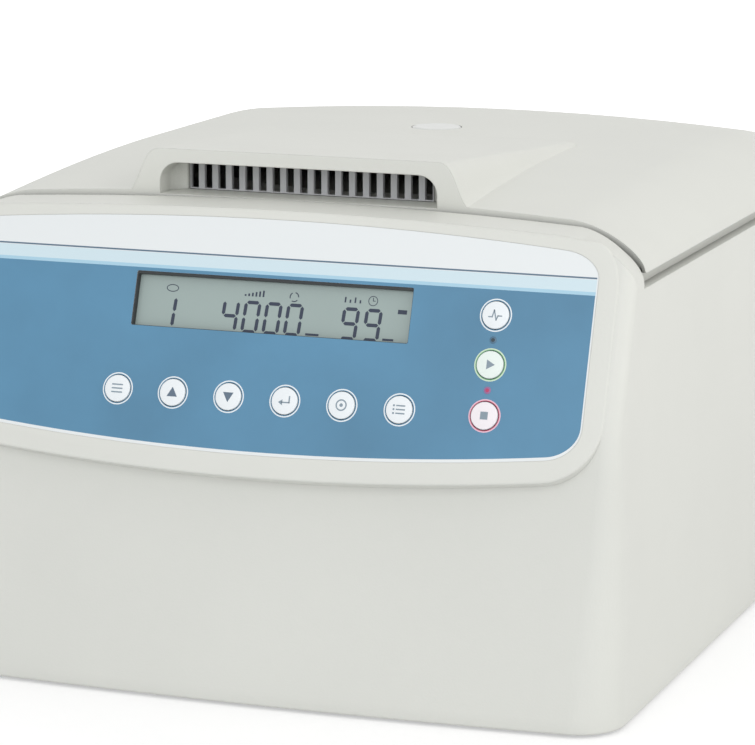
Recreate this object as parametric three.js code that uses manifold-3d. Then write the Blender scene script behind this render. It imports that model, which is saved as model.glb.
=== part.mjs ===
// Gel card centrifuge: a bench instrument with a hinged lid, a swing-out rotor and a sloping panel.
// Millimetres, +Z up. The front faces -Y. The origin is on the bench, under the middle of the cabinet.
import * as THREE from 'three';
import { mergeVertices } from 'three/addons/utils/BufferGeometryUtils.js';
import Module from 'manifold-3d';

const wasm = await Module();
wasm.setup();

// Clearances that the whole machine shares
const seatGap = 0.3;
const slideGap = 0.4;
const overrun = 2;

// The three sizes that lead: width and depth of the cabinet, height of the lid's flat top
const cabinetWidth = 380;
const cabinetDepth = 470;
const lidPlateau = 254;

// Cabinet
const cabinetWall = 3;
const cabinetBottom = 1.5;
const lidOverShelf = 40.5;
const shelfHeight = lidPlateau - lidOverShelf;
const shelfWidth = 6;
const deckStep = 5;
const deckHeight = shelfHeight + deckStep;
const footSwell = 6;
const frontSetback = 7;
const footCornerRadius = 25;
const panelCornerRadius = 8;
const rearCornerRadius = 12;
const rearShelf = 28;
const rearWindowInset = 40;
const rearWindowWidth = cabinetWidth - rearWindowInset * 2;
const rearWindowLow = 22;
const rearWindowBelowShelf = 23.5;
const rearWindowHigh = shelfHeight - rearWindowBelowShelf;

// Dashboard behind the panel: its top is an arch, its back is curved in plan and the lid follows it
const archRise = 28.9;
const archHeight = shelfHeight + archRise;
const archDrop = 4.1;
const archShoulder = 40;
const dashboardShoulderFront = 38;
const dashboardShoulderBack = 60;
const dashboardBack = 72.5;
const dashboardBackDrop = 3.6;
const dashboardSide = 46;
const lidSeam = 2.5;

// Panel plane, measured up its slope from its origin line
const panelTilt = THREE.MathUtils.degToRad(19.5);
const panelLead = 3.7;
const panelBelowShelf = 94.2;
const panelOriginHeight = shelfHeight - panelBelowShelf;
const kneeBelowPanel = 7.3;
const kneeHeight = panelOriginHeight - cabinetBottom - kneeBelowPanel;
const cornerChangeRise = 38;
const cornerChangeHeight = kneeHeight + cornerChangeRise;
const bezelStand = 0.4;
const bezelDepth = 14;
const bezelEdge = 1.2;
const bezelInset = 7.8;
const bezelHalf = cabinetWidth / 2 - bezelInset;
const bezelBottom = -2.66;
const bezelBottomRise = 9;
const bezelBottomTurn = 28.2;
const bezelBottomReach = bezelHalf - bezelBottomTurn;
const bezelSideLow = 38;
const bezelSideHigh = 101.7;
const bezelTop = 130.2;
const bezelTopDrop = 5.6;
const bezelTopTurn = 14.2;
const bezelTopReach = bezelHalf - bezelTopTurn;
const hollowTop = 55;

// Overlay, window, keys and lamps on the panel
const overlayThickness = 0.5;
const overlayInset = 10.9;
const overlayHalf = bezelHalf - overlayInset;
const overlayBottom = 8.9;
const overlayBottomRise = 8.9;
const overlayBottomTurn = 16.3;
const overlayBottomReach = overlayHalf - overlayBottomTurn;
const overlaySideLow = 34;
const overlaySideHigh = 106;
const overlayTop = 125.7;
const overlayTopDrop = 6.7;
const overlayTopTurn = 17.3;
const overlayTopReach = overlayHalf - overlayTopTurn;
const keyColumnInset = 48.9;
const keyColumn = overlayHalf - keyColumnInset;
const windowToColumn = 43.1;
const windowWidth = 146.6;
const windowRight = keyColumn - windowToColumn;
const windowLeft = windowRight - windowWidth;
const windowLow = 68.9;
const windowHigh = 96.5;
const keyRadius = 6.7;
const keyStand = 0.9;
const keyTravel = 0.7;
const keyFlange = 1.5;
const keyFlangeThickness = 1.1;
const keyRowLead = 2.65;
const keyRowLeft = windowLeft - keyRowLead;
const keyPitch = 29.8;
const keyRowHeight = 36.5;
const keyColumnHeights = [85.7, 61.5, 36.7];
const lampHeights = [73.6, 49.1];
const lampRadius = 1.8;
const lampFlange = 0.8;
const lampLength = 6;

// Boards behind the panel and on the base
const boardThickness = 1.6;
const boardSetback = 10;
const boardMarginLeft = 18.7;
const boardMarginRight = 14.6;
const boardLeft = windowLeft - boardMarginLeft;
const boardRight = keyColumn + boardMarginRight;
const boardLow = 22;
const boardHigh = 98.5;
const standoffRadius = 3;
const standoffToColumn = 21.4;
const standoffColumns = [boardLeft + standoffRadius * 2, keyColumn - standoffToColumn];
const standoffRows = [56, 93];
const displayThickness = 4.4;
const displayMargin = 4.2;
const displayMarginHigh = 2.3;
const switchPostRadius = 2.6;
const driveBoardWidth = 210;
const driveBoardDepth = 84;
const driveBoardFront = 30;
const driveBoardHeight = 15;
const capacitorRadius = 11;
const capacitorHeight = 34;
const sinkWidth = 70;
const sinkDepth = 30;
const sinkHeight = 26;
const sinkFin = 3;
const sinkBase = 6;

// Base plate and feet
const plateThickness = 1.6;
const plateFlange = 9;
const footRadius = 11;
const footInsetX = 44;
const footInsetY = 48;
const ventLength = 46;
const ventWidth = 4;
const ventPitch = 12;
const ventCount = 10;

// Rotor axis and the steel bowl around it
const rotorInset = 179;
const rotorSetback = cabinetDepth - footSwell - rotorInset;
const bowlRadius = 142;
const bowlSheet = 1.5;
const bowlFloorShare = 0.4943;
const bowlFloor = deckHeight * bowlFloorShare;
const bowlCorner = 14;
const bowlFlange = 6.5;
const bowlNeckRadius = 26;
const bowlNeckHeight = 8;
const gasketInset = 1;
const gasketWidth = 5;
const gasketHeight = 4.4;

// Motor on its three rubber dampers
const damperCircle = 85;
const damperRadius = 12;
const damperWaist = 8.5;
const damperHeight = 24;
const damperBoss = 6;
const motorPlateThickness = 3;
const motorPlateRadius = 64;
const motorArmRadius = 14;
const motorRadius = 48;
const motorFlange = 8;
const motorFlangeHeight = 5;
const motorBelow = 26;
const motorBelowBowl = 18;
const motorTop = bowlFloor - motorBelowBowl;
const motorNeckRadius = 14.5;
const motorNeckLength = 7;
const motorNeckTop = motorTop + motorNeckLength;
const motorFin = 1.6;
const bootThickness = 1.8;
const bootRibs = 2;

// Card holders
const holderCount = 12;
const pivotCircle = 75;
const pivotDrop = 4;
const pivotRadius = 2.5;
const pivotReach = 3.2;
const holderWall = 2;
const holderFloor = 4;
const holderEnd = 2.5;
const cardSlotWidth = 5.6;
const cardSlotLength = 71;
const cardSlotDepth = 51;
const holderRise = 6;
const holderOverFloor = 19;
const holderWindowLength = 54;
const holderWindowHeight = 26;
const holderWindowLow = 12;
const holderLeadIn = 1;

// Rotor: its height leaves the hanging holders clear of the bowl's floor
const spindleRadius = 8;
const spindleShoulder = 4;
const spindleShoulderHeight = 8;
const spindleThreadRadius = 5;
const rotorTop = bowlFloor + holderOverFloor + cardSlotDepth + holderFloor - holderRise + pivotDrop;
const rotorThickness = 12;
const rotorRadius = 95;
const rotorHubRadius = 24;
const rotorHubBelow = 8;
const rotorHubAbove = 4;
const rotorRimChamfer = 2;
const nutRadius = 15;
const nutHeight = 15;
const nutFluteRadius = 3;
const nutFlutes = 6;

// Lid
const lidSide = 1.5;
const lidSideBack = 6.5;
const lidFront = dashboardBack + lidSeam;
const lidOverDeck = 1.1;
const lidLower = deckHeight + lidOverDeck;
const lidBackGap = 4;
const lidBack = cabinetDepth - footSwell - lidBackGap;
const lidWall = 2.5;
const lidFrontFall = 8.7;
const lidFrontHeight = lidPlateau - lidFrontFall;
const lidPlateauLead = 40;
const lidPlateauStart = rotorSetback - lidPlateauLead;
const lidFallLength = 110;
const lidPlateauEnd = lidBack - lidFallLength;
const lidBackDrop = 17;
const lidShoulder = 44;
const lidCrownFront = 4.3;
const lidCrownBack = 6;
const lidEdgeRound = 2;
const lidBackCorner = 12;
const lidBackReliefRise = 6.4;
const lidBackRelief = lidLower + lidBackReliefRise;
const lidBackReliefDepth = 14;
const lidBossRadius = 5;
const lidBossInset = 26;

// Intake hood on the lid
const hoodEndLead = 33;
const hoodEnd = rotorSetback - hoodEndLead;
const hoodRise = 11.8;
const hoodTop = lidPlateau + hoodRise;
const hoodInset = 96;
const hoodFoot = cabinetWidth / 2 - hoodInset;
const hoodFootSpread = 2;
const hoodFootEnd = hoodFoot + hoodFootSpread;
const hoodFlank = 19;
const hoodFlankEnd = 10;
const hoodShoulder = hoodFoot - hoodFlank;
const hoodShoulderEnd = hoodFootEnd - hoodFlankEnd;
const hoodSink = 1.2;
const intakeInset = 19.2;
const intakeHalf = hoodFoot - intakeInset;
const intakeDip = 3;
const intakeLow = lidFrontHeight - intakeDip;
const hoodBrow = 7.4;
const intakeHigh = hoodTop - hoodBrow;
const intakeCorner = 10;
const intakeDepth = 23;
const intakeWall = 2;
const grilleSetback = 18.5;
const grilleThickness = 2.5;
const grilleSlots = 18;
const grilleMargin = 10.8;
const grilleSpan = intakeHalf - grilleMargin;
const grilleSlotLow = 1.2;
const grilleSlotHigh = 4.5;
const grilleSlotShare = 0.46;

// Viewing port
const portRadius = 13.75;
const portBodyRadius = 12.5;
const portDepth = 9;
const portRim = 1;

// Lid liner, seal side
const linerSheet = 2;
const linerSide = 16;
const linerFrontGap = 1;
const linerCorner = 6.5;
const linerDishRadius = 134;
const linerDishRise = 8;
const linerDishSlope = 6;
const linerHoles = 8;
const linerHoleRadius = 7;
const linerHoleCircle = 52;
const linerRearRise = 3.5;
const linerRearLength = 16;
const linerRearMargin = 24;
const linerRearInset = 8;

// Hinges and their springs
const hingeSetback = 13.5;
const hingeRise = 8.5;
const hingeHeight = shelfHeight + hingeRise;
const hingeInset = 85;
const hingeSpacing = cabinetWidth / 2 - hingeInset;
const hingePinRadius = 3.5;
const hingePinLength = 58;
const hingeEarThickness = 3;
const hingeEarRadius = 5.5;
const hingeBaseThickness = 1.5;
const hingeBaseFront = 10;
const hingeBaseBack = 4;
const hingeLugRadius = 6;
const hingeLugThickness = 5;
const hingeLugOffset = 20;
const springWire = 1.8;
const springTurns = 6;
const springPitch = 3.7;
const springLeg = 9;

// Lid lock
const catchSetback = 92;
const catchThickness = 3;
const catchWidth = 16;
const catchDrop = 29;
const catchHoleLow = 3;
const catchHoleHeight = 9;
const catchHoleWidth = 9;
const catchFootLength = 24;
const catchFootThickness = 2;
const catchSlotWidth = 8;
const catchSlotDepth = 25;
const lockWidth = 44;
const lockDepth = 28;
const lockHeight = 26;
const boltRadius = 3;
const boltLength = 44;
const boltRest = 4.5;
const solenoidRadius = 11;
const solenoidLength = 34;

// Power inlet, switch frame and rocker
const rearSheet = 1.5;
const inletInset = 86;
const inletX = inletInset - cabinetWidth / 2;
const inletHeight = 62;
const inletFrameWidth = 34;
const inletFrameHeight = 68;
const inletFrameThickness = 1.5;
const inletBodyMargin = 3;
const inletBodyDepth = 28;
const socketWidth = 24.5;
const socketHeight = 17;
const socketDepth = 17;
const socketCut = 4;
const socketOffset = -14;
const socketPinWidth = 2;
const socketPinDepth = 11;
const socketPinHeight = 4;
const socketPinSpacing = 7;
const rockerWidth = 14;
const rockerHeight = 21;
const rockerOffset = 18;
const rockerDepth = 12;
const rockerGap = 1.1;
const rockerDish = 1.8;
const rockerSink = 1.5;
const rockerBack = 5;
const rockerTilt = THREE.MathUtils.degToRad(8);
const louvreColumns = 2;
const louvreRows = 8;
const louvreWidth = 4;
const louvrePitch = 11;
const louvreBelowWindow = 102;
const louvreLow = rearWindowHigh - louvreBelowWindow;
const louvreGap = 16;
const louvreInset = 104;
const louvreLength = cabinetWidth / 2 - louvreInset - louvreGap / 2;

// Counts of facets
const roundSides = 28;
const smallSides = 14;
const tinySides = 8;
const frontSteps = 6;
const cornerSteps = 4;
const archSteps = 6;
const lidStations = 8;

// Fullness of rounded corners: a circle's quarter and a flatter turn
const roundShare = 0.5523;
const flatterShare = 0.38;

// Places worked out from the sizes
const frontY = footSwell - cabinetDepth / 2;
const rearY = cabinetDepth / 2;
const axisY = frontY + rotorSetback;
const hingeY = rearY - hingeSetback;
const panelInside = (cabinetWall + bezelStand) * Math.cos(panelTilt);
const basePlateBottom = cabinetBottom + seatGap * 2;
const basePlateTop = basePlateBottom + plateThickness;
const bowlFlangeTop = deckHeight + seatGap + bowlSheet;
const linerBottom = bowlFlangeTop + seatGap + gasketHeight + seatGap;
const linerTop = linerBottom + linerSheet;
const pivotHeight = rotorTop - pivotDrop;
const linerRearHalf = hingeSpacing + linerRearMargin;
const stepFrontY = frontY + dashboardSide;
const stepBackY = rearY - rearShelf;

const panelMatrix = new THREE.Matrix4().makeRotationX(Math.PI / 2 - panelTilt);
panelMatrix.setPosition(0, frontY - panelLead, panelOriginHeight);

// Turns a closed three.js geometry into a solid: shared corners are merged and faces point out
function toSolid(geometry) {
  const bare = geometry.index ? geometry : geometry.clone();
  bare.deleteAttribute('normal');
  bare.deleteAttribute('uv');
  const merged = mergeVertices(bare, 1e-4);
  const position = merged.getAttribute('position');
  const faces = [];
  for (let i = 0; i < merged.index.count; i += 3) {
    const [a, b, c] = [0, 1, 2].map((k) => merged.index.getX(i + k));
    if (a !== b && b !== c && c !== a) faces.push([a, b, c]);
  }
  const corner = (k) => new THREE.Vector3().fromBufferAttribute(position, k);
  let volume = 0;
  for (const [a, b, c] of faces) volume += corner(a).dot(corner(b).cross(corner(c)));
  const outward = volume > 0 ? faces : faces.map(([a, b, c]) => [a, c, b]);
  return new wasm.Manifold(new wasm.Mesh({
    numProp: 3,
    vertProperties: Float32Array.from(position.array),
    triVerts: Uint32Array.from(outward.flat()),
  }));
}

function toGeometry(solid) {
  const mesh = solid.getMesh();
  const geometry = new THREE.BufferGeometry();
  geometry.setAttribute('position', new THREE.BufferAttribute(mesh.vertProperties, 3));
  geometry.setIndex(new THREE.BufferAttribute(mesh.triVerts, 1));
  geometry.computeVertexNormals();
  return geometry;
}

const join = (...solids) => solids.reduce((whole, solid) => whole.add(solid));
const cut = (solid, ...tools) => tools.reduce((rest, tool) => rest.subtract(tool), solid);

function box([x0, y0, z0], [x1, y1, z1]) {
  const geometry = new THREE.BoxGeometry(x1 - x0, y1 - y0, z1 - z0);
  geometry.translate((x0 + x1) / 2, (y0 + y1) / 2, (z0 + z1) / 2);
  return toSolid(geometry);
}

function rod(radius, from, to, sides = smallSides) {
  const start = new THREE.Vector3(...from);
  const span = new THREE.Vector3(...to).sub(start);
  const geometry = new THREE.CylinderGeometry(radius, radius, span.length(), sides);
  const upright = new THREE.Vector3(0, 1, 0);
  const turn = new THREE.Quaternion().setFromUnitVectors(upright, span.clone().normalize());
  geometry.applyQuaternion(turn);
  geometry.translate(...start.addScaledVector(span, 1 / 2).toArray());
  return toSolid(geometry);
}

function revolve(profile, centre = [0, 0, 0], sides = roundSides) {
  const geometry = new THREE.LatheGeometry(profile.map(([r, z]) => new THREE.Vector2(r, z)), sides);
  geometry.rotateX(Math.PI / 2);
  geometry.translate(...centre);
  return toSolid(geometry);
}

function extrude(outline, depth, matrix, holes = []) {
  const shape = new THREE.Shape(outline.map(([u, v]) => new THREE.Vector2(u, v)));
  shape.holes = holes.map((hole) => new THREE.Path(hole.map(([u, v]) => new THREE.Vector2(u, v))));
  const geometry = new THREE.ExtrudeGeometry(shape, { depth, bevelEnabled: false });
  geometry.applyMatrix4(matrix);
  return toSolid(geometry);
}

// Extrusions of an outline along one axis, between two places on it
function alongX(outlineYZ, from, to) {
  const matrix = new THREE.Matrix4().makeBasis(
    new THREE.Vector3(0, 1, 0), new THREE.Vector3(0, 0, 1), new THREE.Vector3(1, 0, 0));
  return extrude(outlineYZ, to - from, matrix.setPosition(from, 0, 0));
}

function alongY(outlineXZ, from, to) {
  const matrix = new THREE.Matrix4().makeRotationX(Math.PI / 2);
  return extrude(outlineXZ, to - from, matrix.setPosition(0, to, 0));
}

function alongZ(outlineXY, from, to, holes = []) {
  return extrude(outlineXY, to - from, new THREE.Matrix4().makeTranslation(0, 0, from), holes);
}

const rectangle = (left, low, right, high) => [[left, low], [right, low], [right, high], [left, high]];

function arc(centreU, centreV, radiusU, radiusV, fromDegrees, toDegrees, steps) {
  return Array.from({ length: steps + 1 }, (_, i) => {
    const angle = THREE.MathUtils.degToRad(fromDegrees + (toDegrees - fromDegrees) * i / steps);
    return [centreU + radiusU * Math.cos(angle), centreV + radiusV * Math.sin(angle)];
  });
}

const circle = (centreU, centreV, radius, sides = smallSides) =>
  arc(centreU, centreV, radius, radius, 0, 360, sides).slice(0, -1);

function roundedRectangle(left, low, right, high, radius, steps = 3) {
  return [
    ...arc(right - radius, low + radius, radius, radius, -90, 0, steps),
    ...arc(right - radius, high - radius, radius, radius, 0, 90, steps),
    ...arc(left + radius, high - radius, radius, radius, 90, 180, steps),
    ...arc(left + radius, low + radius, radius, radius, 180, 270, steps),
  ];
}

// A rounded corner between two points, tangent to the lines from each to the corner point
function corner(start, point, end, steps = cornerSteps, fullShare = roundShare) {
  const [a, b, c] = [start, point, end].map(([u, v]) => new THREE.Vector2(u, v));
  const curve = new THREE.CubicBezierCurve(a, a.clone().lerp(b, fullShare), c.clone().lerp(b, fullShare), c);
  return curve.getPoints(steps).map((p) => [p.x, p.y]);
}

// A line from side to side that is slightly bowed up to its shoulders and turns down at both ends
function shoulderLine({ half, side, reach, middle, drop, fullShare, steps = archSteps }) {
  const bow = (x) => middle - drop * (x / reach) ** 2;
  const turn = bow(reach) - 2 * drop * (half - reach) / reach;
  const right = [
    ...corner([half, side], [half, turn], [reach, bow(reach)], steps, fullShare),
    [reach * 2 / 3, bow(reach * 2 / 3)], [reach / 3, bow(reach / 3)],
  ];
  return [...right, [0, middle], ...right.map(([x, v]) => [-x, v]).reverse()];
}

// A closed body through rings of equal length, with flat ends
function loft(rings) {
  const count = rings[0].length;
  const flatten = (p) => rings[0].every((q) => q.z === rings[0][0].z)
    ? new THREE.Vector2(p.x, p.y) : new THREE.Vector2(p.x, p.z);
  const index = [];
  for (let r = 0; r + 1 < rings.length; r += 1) {
    for (let i = 0; i < count; i += 1) {
      const a = r * count + i;
      const b = r * count + (i + 1) % count;
      index.push(a, b, b + count, a, b + count, a + count);
    }
  }
  const addEnd = (ring, start, same) => {
    const flat = ring.map(flatten);
    const ringSign = Math.sign(THREE.ShapeUtils.area(flat));
    for (const [a, b, c] of THREE.ShapeUtils.triangulateShape(flat, [])) {
      const faceSign = Math.sign(THREE.ShapeUtils.area([flat[a], flat[b], flat[c]]));
      const follow = (faceSign === ringSign) === same;
      index.push(start + a, start + (follow ? b : c), start + (follow ? c : b));
    }
  };
  addEnd(rings[0], 0, false);
  addEnd(rings.at(-1), (rings.length - 1) * count, true);
  const geometry = new THREE.BufferGeometry();
  const places = rings.flat().flatMap((p) => p.toArray());
  geometry.setAttribute('position', new THREE.Float32BufferAttribute(places, 3));
  geometry.setIndex(index);
  return toSolid(geometry);
}

const lerp = THREE.MathUtils.lerp;
const clamp01 = (value) => THREE.MathUtils.clamp(value, 0, 1);

// Panel work is in x and the height up the slope, with the third axis out of the panel
const onPanel = (outline, from, to) => {
  const matrix = panelMatrix.clone().multiply(new THREE.Matrix4().makeTranslation(0, 0, from));
  return extrude(outline, to - from, matrix);
};
const panelPoint = (x, s, out) => new THREE.Vector3(x, s, out).applyMatrix4(panelMatrix);
const panelRod = (radius, x, s, from, to, sides = smallSides) =>
  rod(radius, panelPoint(x, s, from).toArray(), panelPoint(x, s, to).toArray(), sides);

function panelOutline(size, grow) {
  const { half, bottom, bottomRise, bottomReach, sideLow, sideHigh, top, topDrop, topReach } = size;
  const bottomAt = (x) => bottom - grow + bottomRise * (x / bottomReach) ** 2;
  const topAt = (x) => top + grow - topDrop * (x / topReach) ** 2;
  const side = half + grow;
  const lowTurn = bottomAt(bottomReach) + 2 * bottomRise * (side - bottomReach) / bottomReach;
  const highTurn = topAt(topReach) - 2 * topDrop * (side - topReach) / topReach;
  const spread = (reach, place) => Array.from({ length: frontSteps + 1 }, (_, i) => {
    const x = reach * (2 * i / frontSteps - 1);
    return [x, place(x)];
  });
  const right = [
    ...corner([bottomReach, bottomAt(bottomReach)], [side, lowTurn], [side, sideLow]),
    ...corner([side, sideHigh], [side, highTurn], [topReach, topAt(topReach)]),
  ];
  const left = right.map(([x, s]) => [-x, s]).reverse();
  const bottomEdge = spread(bottomReach, bottomAt).slice(1, -1);
  const topEdge = spread(topReach, topAt).slice(1, -1).reverse();
  return [...bottomEdge, ...right, ...topEdge, ...left];
}

const bezelSize = {
  half: bezelHalf, bottom: bezelBottom, bottomRise: bezelBottomRise, bottomReach: bezelBottomReach,
  sideLow: bezelSideLow, sideHigh: bezelSideHigh, top: bezelTop, topDrop: bezelTopDrop,
  topReach: bezelTopReach,
};
const overlaySize = {
  half: overlayHalf, bottom: overlayBottom, bottomRise: overlayBottomRise, bottomReach: overlayBottomReach,
  sideLow: overlaySideLow, sideHigh: overlaySideHigh, top: overlayTop, topDrop: overlayTopDrop,
  topReach: overlayTopReach,
};
const keys = [
  ...['key_set', 'key_up', 'key_down', 'key_enter', 'key_rcf', 'key_program']
    .map((name, i) => ({ name, x: keyRowLeft + keyPitch * i, s: keyRowHeight })),
  ...['key_pulse', 'key_start', 'key_stop']
    .map((name, i) => ({ name, x: keyColumn, s: keyColumnHeights[i] })),
];

// Cabinet: level sections with a swelling foot, a set-back front and corners that tighten upwards
function frontLevel(z) {
  const share = clamp01((z - cabinetBottom) / kneeHeight);
  const lower = frontY + frontSetback * Math.sin(share * Math.PI / 2);
  const sloped = frontY - panelLead + bezelStand + (z - panelOriginHeight) * Math.tan(panelTilt);
  return Math.max(lower, sloped);
}

function cabinetOutline(z, inset) {
  const change = clamp01((z - cabinetBottom) / cornerChangeHeight);
  const radius = Math.max(lerp(footCornerRadius, panelCornerRadius, change) - inset, cabinetWall);
  const backRadius = Math.max(rearCornerRadius - inset, cabinetWall);
  const swell = footSwell * (1 - clamp01((z - cabinetBottom) / kneeHeight));
  const half = cabinetWidth / 2 - inset;
  const front = frontLevel(z) + inset;
  const back = rearY - inset;
  const reach = half - radius;
  const face = Array.from({ length: frontSteps + 1 }, (_, i) => {
    const share = 2 * i / frontSteps - 1;
    return [share * reach, front - swell * (1 - share * share)];
  });
  return [
    ...face.slice(1, -1),
    ...arc(reach, front + radius, radius, radius, -90, 0, cornerSteps),
    ...arc(half - backRadius, back - backRadius, backRadius, backRadius, 0, 90, cornerSteps),
    ...arc(backRadius - half, back - backRadius, backRadius, backRadius, 90, 180, cornerSteps),
    ...arc(-reach, front + radius, radius, radius, 180, 270, cornerSteps),
  ];
}

function cabinetVolume(inset) {
  const crossing = panelOriginHeight + (frontSetback + panelLead - bezelStand) / Math.tan(panelTilt);
  const low = inset > 0 ? cabinetBottom - overrun : cabinetBottom;
  const top = archHeight + overrun;
  const kneeShares = [0.2, 0.4, 0.6, 0.8, 1];
  const levels = [low, ...kneeShares.map((share) => cabinetBottom + kneeHeight * share),
    crossing, lerp(crossing, shelfHeight, 1 / 2), shelfHeight, top];
  const body = loft(levels.map((z) => cabinetOutline(z, inset).map(([x, y]) => new THREE.Vector3(x, y, z))));
  const half = cabinetWidth / 2 - inset;
  const wide = half + overrun;
  const section = (y, fullShare) => [
    [-wide, low - overrun], [wide, low - overrun], [wide, shelfHeight - inset],
    ...shoulderLine({ half, side: shelfHeight - inset, reach: cabinetWidth / 2 - archShoulder,
      middle: archHeight - inset, drop: archDrop, fullShare }),
    [-wide, shelfHeight - inset],
  ].map(([x, z]) => new THREE.Vector3(x, y, z));
  const arch = loft([
    section(frontY - cabinetDepth / 4, roundShare), section(frontY + dashboardShoulderFront, roundShare),
    section(frontY + dashboardShoulderBack, flatterShare), section(rearY + overrun, flatterShare),
  ]);
  const stepHalf = cabinetWidth / 2 - shelfWidth - inset;
  const step = box([-stepHalf, stepFrontY + inset, shelfHeight - cabinetWall - overrun],
    [stepHalf, stepBackY - inset, deckHeight - inset]);
  return join(cut(body.intersect(arch), spaceBehindDashboard(inset)), step);
}

// A curve in plan like the dashboard's back, narrowed at its ends and moved back there and in the middle
function seamLine(narrow, sideBack, middleBack) {
  return shoulderLine({ half: cabinetWidth / 2 - narrow, side: frontY + dashboardSide + sideBack,
    reach: cabinetWidth / 2 - archShoulder, middle: frontY + dashboardBack + middleBack,
    drop: dashboardBackDrop, fullShare: flatterShare });
}

function spaceBehindDashboard(inset) {
  const side = frontY + dashboardSide - inset;
  const wide = cabinetWidth / 2 + overrun;
  const far = rearY + overrun;
  return alongZ([[wide, far], [wide, side], ...seamLine(inset, -inset, -inset), [-wide, side], [-wide, far]],
    shelfHeight - inset, archHeight + overrun * 2);
}

// Everything behind the curve that the lid's front face follows
function spaceBehindSeam(inset) {
  const sideBack = lidSideBack + inset;
  const side = frontY + dashboardSide + sideBack;
  const wide = cabinetWidth / 2 + overrun;
  const far = rearY + overrun;
  const line = seamLine(lidSide + inset, sideBack, lidSeam + inset);
  return alongZ([[wide, far], [wide, side], ...line, [-wide, side], [-wide, far]],
    lidLower - overrun * 2, hoodTop + overrun * 2);
}

function panelRing(outline, out) {
  return outline.map(([x, s]) => panelPoint(x, s, out));
}

function cabinetShell() {
  const bezel = loft([
    panelRing(panelOutline(bezelSize, 0), -bezelDepth),
    panelRing(panelOutline(bezelSize, 0), -bezelEdge),
    panelRing(panelOutline(bezelSize, -bezelEdge), 0),
  ]);
  const innerEdge = panelOutline(bezelSize, -cabinetWall).filter(([, s]) => s < hollowTop);
  const hollowLeft = innerEdge.findIndex(([x], i) => x > 0 && innerEdge[(i + 1) % innerEdge.length][0] < 0);
  const hollowOutline = [
    ...innerEdge.slice(0, hollowLeft + 1),
    [bezelHalf - cabinetWall, hollowTop], [cabinetWall - bezelHalf, hollowTop],
    ...innerEdge.slice(hollowLeft + 1),
  ];
  const hollow = onPanel(hollowOutline, -bezelDepth - overrun, -panelInside);
  const inside = join(cabinetVolume(cabinetWall), hollow);
  const standoffs = standoffColumns.flatMap((x) => standoffRows.map((s) =>
    panelRod(standoffRadius, x, s, -boardSetback + seatGap, seatGap - panelInside, tinySides)));
  const outer = join(cabinetVolume(0), cut(bezel, spaceBehindDashboard(0)));
  const catchY = frontY + catchSetback;
  const holes = [
    rod(bowlRadius + bowlSheet + slideGap, [0, axisY, deckHeight - cabinetWall - overrun],
      [0, axisY, deckHeight + overrun], roundSides),
    box([-catchSlotWidth / 2, catchY - catchSlotDepth / 2, deckHeight - cabinetWall - overrun],
      [catchSlotWidth / 2, catchY + catchSlotDepth / 2, deckHeight + overrun]),
    box([-rearWindowWidth / 2, rearY - cabinetWall - overrun, rearWindowLow],
      [rearWindowWidth / 2, rearY + overrun, rearWindowHigh]),
    onPanel(panelOutline(overlaySize, seatGap), -overlayThickness - seatGap, overrun),
    onPanel(rectangle(windowLeft, windowLow, windowRight, windowHigh), -panelInside - overrun, overrun),
    ...keys.map(({ x, s }) => panelRod(keyRadius + slideGap, x, s, -bezelDepth, overrun)),
    ...lampHeights.map((s) => panelRod(lampRadius + seatGap, keyColumn, s, -bezelDepth, overrun, tinySides)),
  ];
  return cut(join(cut(outer, inside), ...standoffs), ...holes);
}

function basePlate() {
  const outline = cabinetOutline(basePlateTop + plateFlange / 2, cabinetWall + seatGap);
  const half = cabinetWidth / 2 - cabinetWall - seatGap;
  const front = frontY + footCornerRadius;
  const back = rearY - rearCornerRadius;
  const flanges = [-1, 1].map((side) => box(
    [side > 0 ? half - plateThickness : -half, front, basePlateTop - plateThickness],
    [side > 0 ? half : plateThickness - half, back, basePlateTop + plateFlange]));
  const bosses = damperPlaces().map(([x, y]) =>
    rod(damperRadius, [x, y, basePlateBottom], [x, y, basePlateTop + damperBoss], smallSides));
  const posts = drivePosts().map(([x, y]) =>
    rod(standoffRadius, [x, y, basePlateBottom], [x, y, driveBoardHeight - seatGap], tinySides));
  const vents = Array.from({ length: ventCount }, (_, i) => {
    const x = (i - (ventCount - 1) / 2) * ventPitch;
    return alongZ(roundedRectangle(x - ventWidth / 2, axisY - ventLength * 2 - ventLength / 2,
      x + ventWidth / 2, axisY - ventLength * 2 + ventLength / 2, ventWidth / 2, 1),
    basePlateBottom - overrun, basePlateTop + overrun);
  });
  return cut(join(alongZ(outline, basePlateBottom, basePlateTop), ...flanges, ...bosses, ...posts), ...vents);
}

function damperPlaces() {
  return [90, 210, 330].map((degrees) => {
    const angle = THREE.MathUtils.degToRad(degrees);
    return [damperCircle * Math.cos(angle), axisY + damperCircle * Math.sin(angle)];
  });
}

function drivePosts() {
  const x = driveBoardWidth / 2 - standoffRadius * 2;
  const near = frontY + driveBoardFront + standoffRadius * 2;
  const far = frontY + driveBoardFront + driveBoardDepth - standoffRadius * 2;
  return [[-x, near], [x, near], [-x, far], [x, far]];
}

function foot() {
  const bevel = footRadius / 8;
  const top = basePlateBottom - seatGap;
  return revolve([[0, 0], [footRadius - bevel, 0], [footRadius, bevel], [footRadius, top], [0, top]],
    [0, 0, 0], smallSides);
}

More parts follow.
